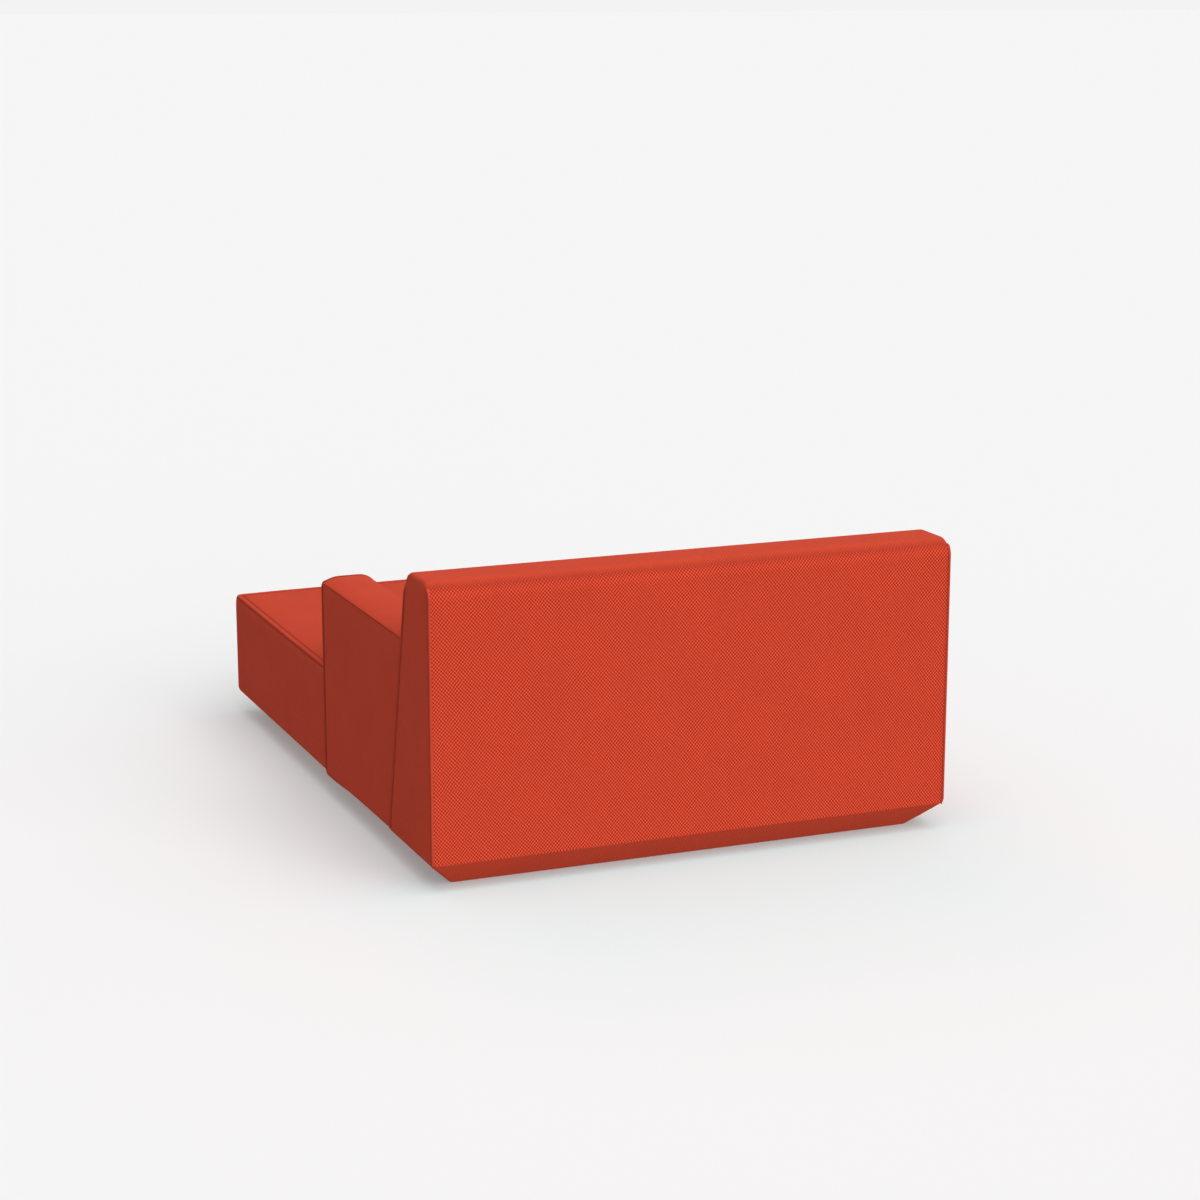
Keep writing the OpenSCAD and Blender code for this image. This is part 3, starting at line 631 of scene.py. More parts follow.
class Finish:
    """A material that is built node by node."""

    def __init__(self, name, tree=None):
        if tree is None:
            self.material = bpy.data.materials.new(name)
            self.material.use_nodes = True
            tree = self.material.node_tree
        self.tree = tree
        self.tree.nodes.clear()

    def node(self, kind, settings=None, inputs=None, output=0):
        """Add a node, make its settings and then its inputs, and give one of its outputs."""
        made = self.tree.nodes.new(kind)
        for name, value in (settings or {}).items():
            if name == "stops":
                ramp = made.color_ramp
                while len(ramp.elements) < len(value):
                    ramp.elements.new(0.5)
                for element, (place, tone) in zip(ramp.elements, value):
                    element.position, element.color = place, (*tone, 1)
            else:
                setattr(made, name, value)
        for name, value in (inputs or {}).items():
            if isinstance(value, Value):
                self.tree.links.new(value.socket, made.inputs[name])
            elif made.inputs[name].type == "RGBA" and len(value) == 3:
                made.inputs[name].default_value = (*value, 1)
            else:
                made.inputs[name].default_value = value
        return Value(self, made.outputs[output]) if len(made.outputs) else made

    def seen(self):
        """One where the camera or a reflection looks straight at the surface."""
        kinds = ("Camera", "Glossy", "Transmission")
        rays = [self.node("ShaderNodeLightPath", output=f"Is {kind} Ray") for kind in kinds]
        return (rays[0] + rays[1] + rays[2]).math("MINIMUM", 1.0)

    def place(self):
        """Object coordinates."""
        return self.node("ShaderNodeTexCoord", output="Object")

    def parts(self, vector):
        """The three numbers of a vector."""
        made = self.node("ShaderNodeSeparateXYZ", inputs={0: vector})
        outs = made.socket.node.outputs
        return [Value(self, outs[k]) for k in range(3)]

    def stretched(self, vector, scale):
        """A vector scaled on each way, for a pattern that runs one way."""
        return self.node("ShaderNodeMapping", inputs={"Vector": vector, "Scale": scale})

    def noise(self, vector, scale, detail=2.0, rough=0.5):
        """Noise about one half."""
        inputs = {"Vector": vector, "Scale": scale, "Detail": detail, "Roughness": rough}
        return self.node("ShaderNodeTexNoise", inputs=inputs)

    def shaded(self, colour, tone):
        """A colour times a tone that varies."""
        grey = self.node("ShaderNodeCombineXYZ", inputs={0: tone, 1: tone, 2: tone})
        return self.blend(1.0, colour, grey, "MULTIPLY")

    def seams(self, base):
        """The base colour, mixed towards the seam colour by the seam attribute: painted shade in the seams'
        grooves and over shaded parts.
        """
        seam = self.node("ShaderNodeAttribute", {"attribute_name": "seam"}, output="Fac")
        return self.blend(seam * 0.8, base, colours().seam)

    def blend(self, share, first, second, kind="MIX"):
        """Mix two colours, by a share that may vary."""
        return self.node(
            "ShaderNodeMix",
            {"data_type": "RGBA", "blend_type": kind},
            {0: share, 6: first, 7: second},
            output=2,
        )

    def bump(self, height, distance, strength=1.0):
        """Normals for a relief of this height."""
        inputs = {"Height": height, "Distance": distance, "Strength": strength}
        return self.node("ShaderNodeBump", inputs=inputs)

    def surface(self, base, roughness, normal, **plain):
        """The shader, with what varies linked to it and the rest set on it."""
        inputs = {name.replace("_", " "): value for name, value in plain.items()}
        inputs.update({"Base Color": base, "Roughness": roughness, "Normal": normal})
        shader = self.node("ShaderNodeBsdfPrincipled", inputs=inputs)
        self.node("ShaderNodeOutputMaterial", inputs={"Surface": shader})
        return self.material


# Turns of the weave in radians for each metre of cloth: dots 9.7 mm apart, in rows 5.6 mm apart,
# with eight threads to a turn
DOT_TURN, ROW_TURN = 647.2, 562.3
THREAD_TURN, CROSS_THREAD_TURN = 4498.0, 5178.0
RIB_TURN = 1122.0  # ribs on a welt 5.6 mm apart


def cover_cloth(name, painted_light_gain, contrast):
    """Basket weave: light and dark yarns pass over each other, four threads to a yarn."""
    c = colours()
    f = Finish(name)
    uv = f.node("ShaderNodeUVMap", {"uv_map": "cloth"})
    x, y, _ = f.parts(uv)
    wander = {"Vector": uv, "Scale": 17.0, "Detail": 1.0}
    stray = f.node("ShaderNodeTexNoise", inputs=wander, output="Color")
    stray_x, stray_y, _ = f.parts(stray)
    over = (x * DOT_TURN + stray_x.swing(4.0)).cos() * (y * ROW_TURN + stray_y.swing(4.0)).cos()
    light = over.ramp(-0.35, 0.55) * contrast + 0.54 * (1 - contrast)
    thread = light * (y * THREAD_TURN).cos() + (1 - light) * (x * CROSS_THREAD_TURN).cos()
    slub = f.noise(f.stretched(uv, (45, 420, 1)), 1.0)
    drift = f.noise(uv, 7.0, 3.0)
    fuzz = f.noise(uv, 2600.0, 1.0)
    # The gain makes this copy of the cloth lighter or darker as painted light, for the rear face and the
    # bevel
    tone = slub.swing(0.34) + drift.swing(0.14) + fuzz.swing(0.30) + thread * 0.05 + painted_light_gain
    base = f.shaded(f.blend(light, c.yarn_dark, c.yarn_light), tone)
    height = over * 0.45 + thread * 0.22 + fuzz.swing(0.5)
    normal = f.bump(height, 0.0006, 0.3 + 0.3 * contrast)
    return f.surface(f.seams(base), 0.9 + slub.swing(0.12), normal, Specular_IOR_Level=0.1)


def welt_cloth(name):
    """The same cloth cut across the weave and wound round a cord."""
    f = Finish(name)
    place = f.place()
    x, y, z = f.parts(place)
    rib = ((x + y + z) * RIB_TURN).cos()
    fuzz = f.noise(place, 1400.0)
    drift = f.noise(place, 22.0)
    tone = rib * 0.16 + fuzz.swing(0.4) + drift.swing(0.2) + 1.0
    base = f.seams(f.shaded(colours().welt_cloth, tone))
    normal = f.bump(rib * 0.4 + fuzz * 0.5, 0.0005, 0.7)
    return f.surface(base, 0.86 + fuzz.swing(0.15), normal, Specular_IOR_Level=0.2)


def timber(name, pale, dark, scale, rings):
    """Sawn wood with its grain along the longest way of most rails."""
    f = Finish(name)
    place = f.place()
    warp = f.noise(f.stretched(place, (3, 3, 9)), 1.0, 3.0)
    grain = f.node(
        "ShaderNodeTexWave",
        {"wave_type": "BANDS", "bands_direction": "Z"},
        {
            "Vector": f.stretched(place, scale),
            "Scale": rings,
            "Distortion": 5.0,
            "Detail": 3.0,
            "Detail Scale": 1.5,
        },
        output="Fac",
    )
    fibre = f.noise(f.stretched(place, (14, 14, 620)), 1.0, 3.0, 0.6)
    base = f.blend(grain * 0.7 + warp.swing(0.4), pale, dark)
    base = f.blend((fibre - 0.35) * 0.5, base, dark)
    normal = f.bump(fibre + grain * 0.3, 0.0004, 0.5)
    return f.surface(base, 0.62 + fibre.swing(0.3), normal, Specular_IOR_Level=0.3)


def times(tone, share):
    """A colour made paler or darker."""
    return tuple(min(1.0, t * share) for t in tone)


def pressed_board(name, tone):
    """Pressed fibre board, speckled and nearly smooth."""
    f = Finish(name)
    place = f.place()
    speck = f.noise(place, 420.0, 3.0, 0.7)
    cloud = f.noise(place, 9.0)
    base = f.blend((speck - 0.4) * 0.9 + cloud.swing(0.3), tone, times(tone, 2.1))
    return f.surface(base, 0.5 + speck * 0.25, f.bump(speck, 0.0003, 0.4), Specular_IOR_Level=0.35)


def cut_foam(name, tone):
    """Foam with open cells."""
    f = Finish(name)
    place = f.place()
    cell_size = {"Vector": place, "Scale": 420.0, "Smoothness": 0.4}
    cells = f.node("ShaderNodeTexVoronoi", {"feature": "SMOOTH_F1"}, cell_size)
    cloud = f.noise(place, 14.0, 3.0)
    base = f.blend(cells.ramp(0.15, 0.75) * 0.6 + cloud.swing(0.3), tone, times(tone, 0.55))
    return f.surface(base, 0.9 + cloud.swing(0.1), f.bump(1 - cells, 0.001, 0.6), Specular_IOR_Level=0.2)


def fibre_wadding(name, tone):
    """Loose white fibre."""
    f = Finish(name)
    place = f.place()
    tuft = f.noise(place, 70.0, 6.0, 0.7)
    hair = f.node(
        "ShaderNodeTexNoise",
        inputs={"Vector": place, "Scale": 260.0, "Detail": 4.0, "Roughness": 0.8, "Distortion": 2.5},
    )
    base = f.blend(1 - tuft.ramp(0.3, 0.65), tone, times(tone, 0.72))
    normal = f.bump(tuft + hair * 0.5, 0.003, 0.6)
    return f.surface(base, 0.92 + tuft.swing(0.1), normal, Sheen_Weight=0.2, Specular_IOR_Level=0.2)


def strap_weave(name, tone, stripe):
    """Ribbed elastic strap with a stripe now and then."""
    f = Finish(name)
    place = f.place()
    x, y, z = f.parts(place)
    rib = (x * 2600.0).cos() * (y * 1900.0).cos() + (z * 2600.0).cos() * 0.4
    band = ((x + y) * 157.0).cos().ramp(0.93, 0.96)
    fuzz = f.noise(place, 900.0)
    base = f.blend(band * 0.8, tone, stripe)
    base = f.blend((fuzz - 0.3) * 0.3, base, (0.10, 0.10, 0.10))
    return f.surface(base, 0.75 + fuzz.swing(0.2), f.bump(rib, 0.0004, 0.7), Specular_IOR_Level=0.3)


def dust_cloth(name, tone):
    """Thin pressed cloth with small dimples in rows."""
    f = Finish(name)
    place = f.place()
    x, y, _ = f.parts(place)
    dimple = ((x * 1570.0).cos() * (y * 1570.0).cos()).ramp(0.2, 0.9)
    fuzz = f.noise(place, 700.0, 4.0, 0.7)
    base = f.blend((fuzz - 0.35) * 0.7 + dimple * 0.25, tone, times(tone, 3.0))
    normal = f.bump(fuzz - dimple, 0.0004, 0.6)
    return f.surface(base, 0.8 + fuzz.swing(0.2), normal, Specular_IOR_Level=0.25)


def plated_steel(name, tone):
    """Zinc plate with its faint bloom."""
    f = Finish(name)
    place = f.place()
    bloom = f.noise(place, 130.0, 3.0, 0.6)
    scratch = f.noise(f.stretched(place, (90, 90, 1500)), 1.0)
    base = f.blend(bloom.ramp(0.35, 0.7), tone, times(tone, 0.75))
    roughness = 0.3 + bloom * 0.2 + scratch.swing(0.1)
    return f.surface(base, roughness, f.bump(scratch, 0.0001, 0.4), Metallic=1.0)


def moulded_plastic(name, tone):
    """Plastic from a spark eroded mould."""
    f = Finish(name)
    place = f.place()
    grain = f.noise(place, 2200.0)
    wear = f.noise(place, 60.0, 3.0)
    base = f.blend(wear.ramp(0.5, 0.8) * 0.5, tone, times(tone, 2.2))
    return f.surface(base, 0.45 + wear * 0.2, f.bump(grain, 0.0002, 0.4), Specular_IOR_Level=0.45)


_made = {}


def finish(name):
    """Each material is made once, the first time that it is asked for."""
    if name not in _made:
        c = colours()
        maker, *details = {
            # rear_weave and bevel_cloth are the cover cloth painted lighter, as painted light on the rear
            # face and the bevel, with the weave's dots stronger on the rear, where the light grazes it
            "rear_weave": (cover_cloth, 1.07, 0.85),
            "cover_cloth": (cover_cloth, 1.0, 0.35),
            "bevel_cloth": (cover_cloth, 1.14, 0.5),
            "welt_cloth": (welt_cloth,),
            "frame_wood": (timber, c.pine, c.pine_grain, (1.5, 1.5, 24), 3.0),
            "plywood": (timber, c.birch, c.birch_grain, (2.5, 2.5, 9), 4.0),
            "hardboard": (pressed_board, c.hardboard),
            "soft_foam": (cut_foam, c.foam),
            "firm_foam": (cut_foam, c.firm_foam),
            "wadding": (fibre_wadding, c.wadding),
            "webbing": (strap_weave, c.webbing, c.web_stripe),
            "dust_cloth": (dust_cloth, c.dust),
            "zinc_steel": (plated_steel, c.zinc),
            "pad_plastic": (moulded_plastic, c.plastic),
        }[name]
        _made[name] = maker(name, *details)
    return _made[name]


def dress(obj, slot, *nodes):
    """Give a finished piece its material, its body, its slot and the nodes that it stands for."""
    obj.data.materials.clear()
    obj.data.materials.append(finish(slot))
    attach(obj, BODY)
    if nodes:
        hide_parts(*nodes)
    return obj


# Pieces


PITCH = 0.020  # between the cuts of a panel
PANEL_EDGE = 0.0035  # roundness of a panel's edges
EDGE_CUTS = (0.008,)  # extra cuts by a panel's edges
ROLL_CUTS = (0.0005, 0.0013, 0.0025, 0.004)  # cuts by a wrap's edge, where it rolls under
SWELL_REACH = 0.02  # from a seam to where the cloth swells freely
REAR_SWELL, PANEL_SWELL, SEAT_SWELL = 0.6, 0.7, 0.8  # shares of the swell that pieces take
END_BULGE = 0.0025  # how far both ends of the back's top stand out
SOFT_SEAM = 0.008  # how far a seam's shade draws back on the soft top
SEAM_SHADE = 0.46  # shade on the cloth that bends at the rear seam
SHADE_REACH = 0.018
INSIDE_BACK = 0.1  # a depth within the back, where blocks begin that its front then cuts
WRAP_PRESS, ARM_PRESS = 0.0017, 0.0014  # deepest that a wrap's edge may go, with foam below it
WELT_SHADE = 0.75
REAR_HEM = -0.002
HEM_RISE = 0.05  # height over which a hem is drawn up or down
HEM_REACH = 0.02  # across, from the outer side
# Heights of the hems above the bevel line, at places from the rear face to the front
HEMS = {
    "back": ([0.0, 0.324, 0.40], [REAR_HEM, -0.0029, -0.0035]),
    "arm": (
        [0.30, 0.417, 0.929, 0.995, 1.004, 1.010, 1.015],
        [0.0075, 0.0056, -0.0075, -0.0086, -0.0065, -0.002, 0.006],
    ),
    "seat": (
        [1.0, 1.088, 1.969, 2.05, 2.062, 2.071, 2.077, 2.08],
        [0.0035, 0.0033, 0.0009, 0.0003, 0.002, 0.005, 0.010, 0.016],
    ),
}


def hem(d, unit):
    """How far the lower edge of a unit's outer side stands above or below the bevel line."""
    return np.interp(d, *HEMS[unit])


def lower_hem(obj, unit, side=0.0):
    """Draw the lower edge of an outer side to its hem line."""
    p = points(obj)
    low = clamp(1 - (p[:, 2] - sizes().bevel_height) / HEM_RISE)
    p[:, 2] += hem(p[:, 1], unit) * low * clamp(1.5 - np.abs(p[:, 0] - side) / HEM_REACH)
    set_points(obj, p)


def rear_panel():
    """The rear face with its wadding, laid flat first and then bent over the top edge."""
    s = sizes()
    inner, r, low = 2 * s.welt_body - s.welt_out - 0.0003, s.back_edge, s.bevel_height + REAR_HEM
    shoulder_z = s.back_height - r
    top = shoulder_z + r * math.asin((s.rear_seam - shoulder_z) / r)
    obj = block("back_rear_panel", (inner, WIDTH - inner), (0, s.rear_padding), (low, top))
    round_edges(obj, PANEL_EDGE, 4, lambda m, w: m[1] < MM and m[2] > low + MM and abs(w[2]) > 0.9)
    round_edges(obj, CRISP, 2, lambda m, w: m[1] < MM and m[2] > top - MM)
    slices(obj, "u", steps(inner, WIDTH - inner, PITCH, (0.008, 0.014)))
    by_seam = (0.003, 0.006, 0.010, 0.015, 0.022)
    slices(obj, "z", [low + CRISP, *steps(low, top, 0.016, by_seam, low_edge=False)])

    def borders():
        p = points(obj)
        return p, np.minimum(p[:, 0] - inner, WIDTH - inner - p[:, 0]), top - p[:, 2]

    p, side, above = borders()
    outer = p[:, 1] < s.rear_padding - MM
    swell(obj, outer * clamp(least(side, above, p[:, 2] - low) / SWELL_REACH), s.swell * REAR_SWELL)
    p, side, above = borders()
    p[:, 1] += outer * 0.0008 * bell(above, 0.006)
    set_points(obj, p)
    refine(obj)
    p, side, above = borders()
    # Painted shade: darker along the side seams, less so on the arm side, and in a band under the rear
    # seam, where the cloth bends over the edge
    edge = side + np.where(p[:, 0] < WIDTH / 2, 0.007, 0.002)
    paint_seam_shade(obj, edge, shade=SEAM_SHADE * bell(above, SHADE_REACH))
    # The weave bows down towards its middle and leans outwards higher up
    middle = lambda q: (q[:, 0] - WIDTH / 2) / (WIDTH / 2)
    lay(
        obj,
        lambda q: q[:, 0] - 0.031 * middle(q) * (q[:, 2] - 0.460) + q[:, 1] * np.sign(middle(q)),
        lambda q: q[:, 2] - 0.0226 * (1 - middle(q) ** 2) + q[:, 1] * np.sign(q[:, 2] - 0.46),
    )
    turn = np.maximum(p[:, 2] - shoulder_z, 0) / r
    bent, deep = turn > 0, r - p[:, 1]
    p[:, 1] = np.where(bent, r - deep * np.cos(turn), p[:, 1])
    p[:, 2] = np.where(bent, shoulder_z + deep * np.sin(turn), p[:, 2])
    set_points(obj, p)
    smooth(obj)
    dress(obj, "rear_weave", "back_rear_cover", "back_rear_wadding")


def back_section():
    """The line of the back's cloth from the bottom over the rear edge and down the front."""
    s = sizes()
    r, top, low = s.back_edge, s.back_height, s.bevel_height
    centre_d = back_front(top) - r / math.tan((math.pi / 2 + s.back_lean) / 2)
    rear = [(r - r * math.cos(a), top - r + r * math.sin(a)) for a in np.linspace(0, math.pi / 2, 9)]
    turn = np.linspace(math.pi / 2, s.back_lean, 9)
    front = [(centre_d + r * math.cos(a), top - r + r * math.sin(a)) for a in turn]
    return [(0, low), *rear, *front, (back_front(low), low)]


def back_block(name, across, inset, low, rear_steps, front_steps):
    """A block in the shape of the back's section, moved in by inset, with both top edges rounded."""
    s = sizes()
    r, top, lean = s.back_edge - inset, s.back_height - inset, s.back_lean
    obj = block(name, across, (inset, 0.3), (low, top))
    for z in (top, low):
        slide(obj, lambda m, w: m[1] > 0.2 and abs(m[2] - z) < MM, (0, back_front(z, inset) - 0.3, 0))
    on_top = lambda m, w: abs(w[0]) > 0.9 and m[2] > top - MM
    round_edges(obj, r, rear_steps, lambda m, w: on_top(m, w) and m[1] < inset + MM)
    front_offset = r / math.tan((math.pi / 2 + lean) / 2)
    round_edges(obj, front_offset, front_steps, lambda m, w: on_top(m, w) and m[1] > 0.1)
    return obj


def back_wrap():
    """The cloth over the back's top and down its front, which starts under the rear panel's edge."""
    s = sizes()
    inner, low, seam_z, top = 2 * s.welt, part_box("back_wrap_cover")[0][2], s.rear_seam, s.back_height
    tail = seam_z - 0.005
    obj = back_block("back_wrap", (inner, WIDTH - inner), 0.0, low, 12, 10)
    slices(obj, "z", [tail])
    drop_faces(obj, lambda m, w: abs(w[0]) > 0.9 or w[2] < -0.9 or (m[1] < s.back_edge and m[2] < tail))
    border = (*ROLL_CUTS, 0.006, 0.009, 0.013)
    slices(obj, "u", steps(inner, WIDTH - inner, PITCH, border))
    by_seam = [seam_z + k * MM for k in (-1.5, 0.0, 0.6, 1.4)]
    slices(obj, "z", [*steps(low, top - 0.070, PITCH), *by_seam])
    slices(obj, "d", steps(s.back_edge, back_front(top) - s.back_edge * 0.8, PITCH))
    along = girth(back_section())
    seam_d = s.back_edge - math.sqrt(s.back_edge**2 - (seam_z - top + s.back_edge) ** 2)
    start = along(np.array([[0, seam_d, seam_z]]))[0]

    def borders():
        p = points(obj)
        return p, np.minimum(p[:, 0] - inner, WIDTH - inner - p[:, 0]), along(p) - start

    p, side, rear = borders()
    soft = over_top(p)
    move = END_BULGE * soft * clamp(1 - side / s.top_roll)
    p[:, 0] += np.where(p[:, 0] < WIDTH / 2, -move, move)
    set_points(obj, p)
    end = np.minimum(p[:, 0], WIDTH - p[:, 0])
    roll = roll_off(end - inner * (1 - soft), 0.004 * (1 - soft) + s.top_roll * soft)
    seam = 0.0010 * bell(rear, 0.008) + roll_off(np.maximum(rear, 0), 0.0005)
    tucked = seam + 0.0022 * clamp(-rear / 0.0012)
    press(obj, np.maximum(roll, np.minimum(tucked, WRAP_PRESS)))
    p, side, rear = borders()
    free = clamp(least(side - 0.004, rear - 0.004, p[:, 2] - low) / 0.03)
    swell(obj, free * (1 - 0.9 * clamp((p[:, 2] - top + 0.05) / 0.03)), s.swell)
    thicken(obj, s.cloth)
    refine(obj)
    p, side, rear = borders()
    # Painted shade: darker by the side seams, less so on the soft top, and in a band above the rear seam,
    # where the cloth bends over the edge
    paint_seam_shade(obj, side + 0.0025 + SOFT_SEAM * over_top(p), shade=SEAM_SHADE * bell(rear, SHADE_REACH))
    lay(obj, lambda q: q[:, 0], along)
    smooth(obj)
    dress(obj, "cover_cloth", "back_wrap_cover")
    run = along(np.array([[0, back_front(low), low]]))[0] - start


def side_panels():
    """The two sides of the back, each with its wadding."""
    s = sizes()
    inset, low, top = 2 * s.welt, s.bevel_height, s.back_height - 2 * s.welt
    obj = back_block("back_side_panel_arm", (0, s.side_padding), inset, low, 8, 8)
    round_edges(obj, 0.003, 4, lambda m, w: m[0] < MM / 2 and m[2] > low + MM)
    slices(obj, "d", steps(inset, back_front(low, inset), PITCH, EDGE_CUTS))
    slices(obj, "z", [low + CRISP, *steps(low, top, PITCH, (0.003, 0.006, 0.010))])
    p = points(obj)
    outer = p[:, 0] < s.side_padding - MM
    depth, _ = back_inside(p, inset)
    swell(obj, outer * clamp(np.minimum(depth - 0.002, p[:, 2] - low) / SWELL_REACH), s.swell * PANEL_SWELL)
    p = points(obj)
    depth, out = back_inside(p, inset)
    depth = np.maximum(depth, 0)
    soft = over_top(p)
    near = soft * np.exp(-depth / 0.006)
    p[:, 1:3] += END_BULGE * near[:, None] * out
    rolled = p[:, 0] * (1 - soft) + roll_off(depth + inset - END_BULGE * near, s.top_roll) * soft
    p[:, 0] = np.where(p[:, 0] < s.side_padding / 2, rolled, p[:, 0])
    set_points(obj, p)
    refine(obj)
    lower_hem(obj, "back")
    p = points(obj)
    # Painted shade along the seams, less on the soft top
    paint_seam_shade(obj, back_inside(p, inset)[0] + 0.002 + SOFT_SEAM * over_top(p))
    lay(obj, lambda q: q[:, 1] + q[:, 0] * np.sign(q[:, 1] - 0.15), lambda q: q[:, 2] + q[:, 0])
    smooth(obj)
    twin = copy_of(obj, "back_side_panel_open")
    dress(obj, "cover_cloth", "back_arm_side_cover", "back_side_wadding")
    dress(twin, "cover_cloth", "back_open_side_cover", "back_side_wadding")


def back_welts():
    """A welt up the front, over the top, where it lies sunk, and down the rear, on both sides."""
    s = sizes()
    r, low, lean = s.welt_body, s.bevel_height, s.back_lean
    inset, across = r - s.welt_proud, r - s.welt_out
    bend, top = s.back_edge - inset, s.back_height - inset
    reach = bend / math.tan((math.pi / 2 + lean) / 2)
    rise = (top - low) / math.cos(lean) - reach
    front_centre = (across, back_front(top, inset) - reach, top - bend)
    rear_centre = (across, inset + bend, top - bend)
    obj = pipe(
        "back_welt_arm",
        (across, back_front(low, inset), low),
        (-lean, 0, 0),
        r,
        [
            ((0, -rise * math.sin(lean), rise * math.cos(lean)), 30),
            (front_centre, (1, 0, 0), -(math.pi / 2 - lean), 8),
            ((0, rear_centre[1] - front_centre[1], 0), 5),
            (rear_centre, (1, 0, 0), -math.pi / 2, 12),
            ((0, 0, -(top - bend - low) - 0.008), 40),
        ],
    )
    p = points(obj)
    soft = over_top(p, 0.003)
    depth, out = back_inside(p)
    middle = np.column_stack([np.full(len(p), across), p[:, 1:3]])
    middle[:, 1:3] -= out * (inset - depth)[:, None]
    thinner, sunk_in = 0.45, 0.0060
    sunk = middle + (p - middle) * thinner
    sunk[:, 0] += sunk_in - across
    sunk[:, 1:3] -= out * (sunk_in - inset)
    p += (sunk - p) * soft[:, None]
    foot = clamp((low + 0.004 - p[:, 2]) / 0.012) * (p[:, 1] < INSIDE_BACK)
    p[:, 0:2] += foot[:, None] * (0.5 * (np.array([across, inset]) - p[:, 0:2]) + np.array([0.0, 0.006]))
    set_points(obj, p)
    smooth(obj, 60)
    twin = copy_of(obj, "back_welt_open")
    # Painted shade on the welts: dark on the front runs, which face away from the light, less so below the
    # arm's top, and light on the rear runs, where the open side's is a little darker
    for welt, behind, inwards in ((obj, 0.04, 0.0024), (twin, 0.20, -0.0008)):
        p = points(welt)
        ahead = clamp((p[:, 1] - 0.05) / 0.08)
        beside = 0.20 * (welt is obj) * clamp((s.arm_height - p[:, 2]) / 0.02)
        paint_seam_shade(welt, np.ones(len(p)), shade=behind + (WELT_SHADE - beside - behind) * ahead)
        p[:, 0] += inwards * (1 - ahead)
        set_points(welt, p)
        dress(welt, "welt_cloth", "back_welts")


def shoulder(u):
    """Fall of the arm's top towards its outer seam."""
    s = sizes()
    return s.arm_shoulder * clamp(1 - u / s.shoulder_width) ** 2


def shape_shoulder(obj):
    """Let the upper part of a piece follow the arm's shoulder."""
    s = sizes()
    p = points(obj)
    lift = clamp((p[:, 2] - (s.arm_height - 0.16)) / 0.13)
    p[:, 2] -= shoulder(p[:, 0]) * lift
    set_points(obj, p)


def arm_side_panel():
    """The arm's outer side with its wadding."""
    s = sizes()
    low, top = s.bevel_height, s.arm_height - s.arm_shoulder - 0.0015
    front = s.arm_front - 2 * s.welt
    obj = block("arm_side_panel", (0, s.side_padding), (INSIDE_BACK, front), (low, top))
    cut_behind(obj, s.panel_gap)
    round_edges(obj, PANEL_EDGE, 4, lambda m, w: m[0] < MM / 2 and m[2] > low + MM)
    slices(obj, "d", steps(back_front(top), front, PITCH, EDGE_CUTS, low_edge=False))
    slices(obj, "z", [low + CRISP, *steps(low, top, PITCH, EDGE_CUTS)])
    edge = lambda q: least(front - q[:, 1], top - q[:, 2], before_back(q))
    p = points(obj)
    free = (p[:, 0] < s.side_padding - MM) * clamp(np.minimum(edge(p), p[:, 2] - low) / SWELL_REACH)
    swell(obj, free, s.swell * PANEL_SWELL)
    refine(obj)
    lower_hem(obj, "arm")
    # Painted shade along the seams
    paint_seam_shade(obj, edge(points(obj)) + 0.002)
    lay(obj, lambda q: q[:, 1] + q[:, 0] * np.sign(q[:, 1] - 0.6), lambda q: q[:, 2] + q[:, 0])
    smooth(obj)
    dress(obj, "cover_cloth", "arm_outer_cover", "arm_outer_wadding")


def arm_wrap():
    """The cloth over the arm's top and down its inner side."""
    s = sizes()
    low, top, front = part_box("arm_wrap_cover")[0][2], s.arm_height, s.arm_front - 2 * s.welt
    outer, r = 0.0012, s.arm_edge
    obj = block("arm_wrap", (outer, s.arm_width), (INSIDE_BACK, front), (low, top))
    round_edges(obj, r, 9, lambda m, w: abs(w[1]) > 0.9 and m[0] > 0.1 and m[2] > top - MM)
    cut_behind(obj, s.panel_gap, fill=False)
    drop_faces(obj, lambda m, w: w[1] > 0.9 or w[2] < -0.9 or w[0] < -0.9)
    over_shoulder = (0.0020, 0.0035, 0.006, 0.0095, 0.014, 0.019, 0.025, 0.032, 0.040, 0.045)
    slices(obj, "u", [*over_shoulder, *steps(0.045, 0.115, 0.018)])
    slices(obj, "z", steps(low, top - r, PITCH))
    border = (*ROLL_CUTS, 0.008)
    slices(obj, "d", steps(back_front(top), front, PITCH, border, low_edge=False))
    shape_shoulder(obj)

    def borders():
        p = points(obj)
        return p, front - p[:, 1], before_back(p, s.panel_gap)

    p, ahead, behind = borders()
    press(obj, np.minimum(np.maximum(roll_off(ahead, 0.004), roll_off(behind, 0.003)), ARM_PRESS))
    p, ahead, behind = borders()
    swell(obj, clamp(least(ahead, behind, p[:, 0] - outer, p[:, 2] - low) / 0.025), s.swell)
    thicken(obj, s.cloth)
    refine(obj)
    p, ahead, behind = borders()
    # Painted shade along the seams and in a line along the top's outer edge
    on_top = np.where(p[:, 2] > top - 0.03, p[:, 0] - outer + 0.0035, 1.0)
    paint_seam_shade(obj, least(ahead + 0.001, behind + 0.002, on_top))
    line = [(outer, top - s.arm_shoulder)]
    line += [(u, top - float(shoulder(u))) for u in np.linspace(0.005, s.arm_width - r, 14)]
    turn = np.linspace(math.pi / 2, 0, 9)
    line += [(s.arm_width - r + r * math.cos(a), top - r + r * math.sin(a)) for a in turn]
    line.append((s.arm_width, low))
    run = girth(line)
    lay(obj, lambda q: q[:, 1], lambda q: run(q[:, [1, 0, 2]]))
    smooth(obj)
    dress(obj, "cover_cloth", "arm_wrap_cover")
    size = sum(math.dist(a, b) for a, b in zip(line, line[1:]))
    front - back_front(top)


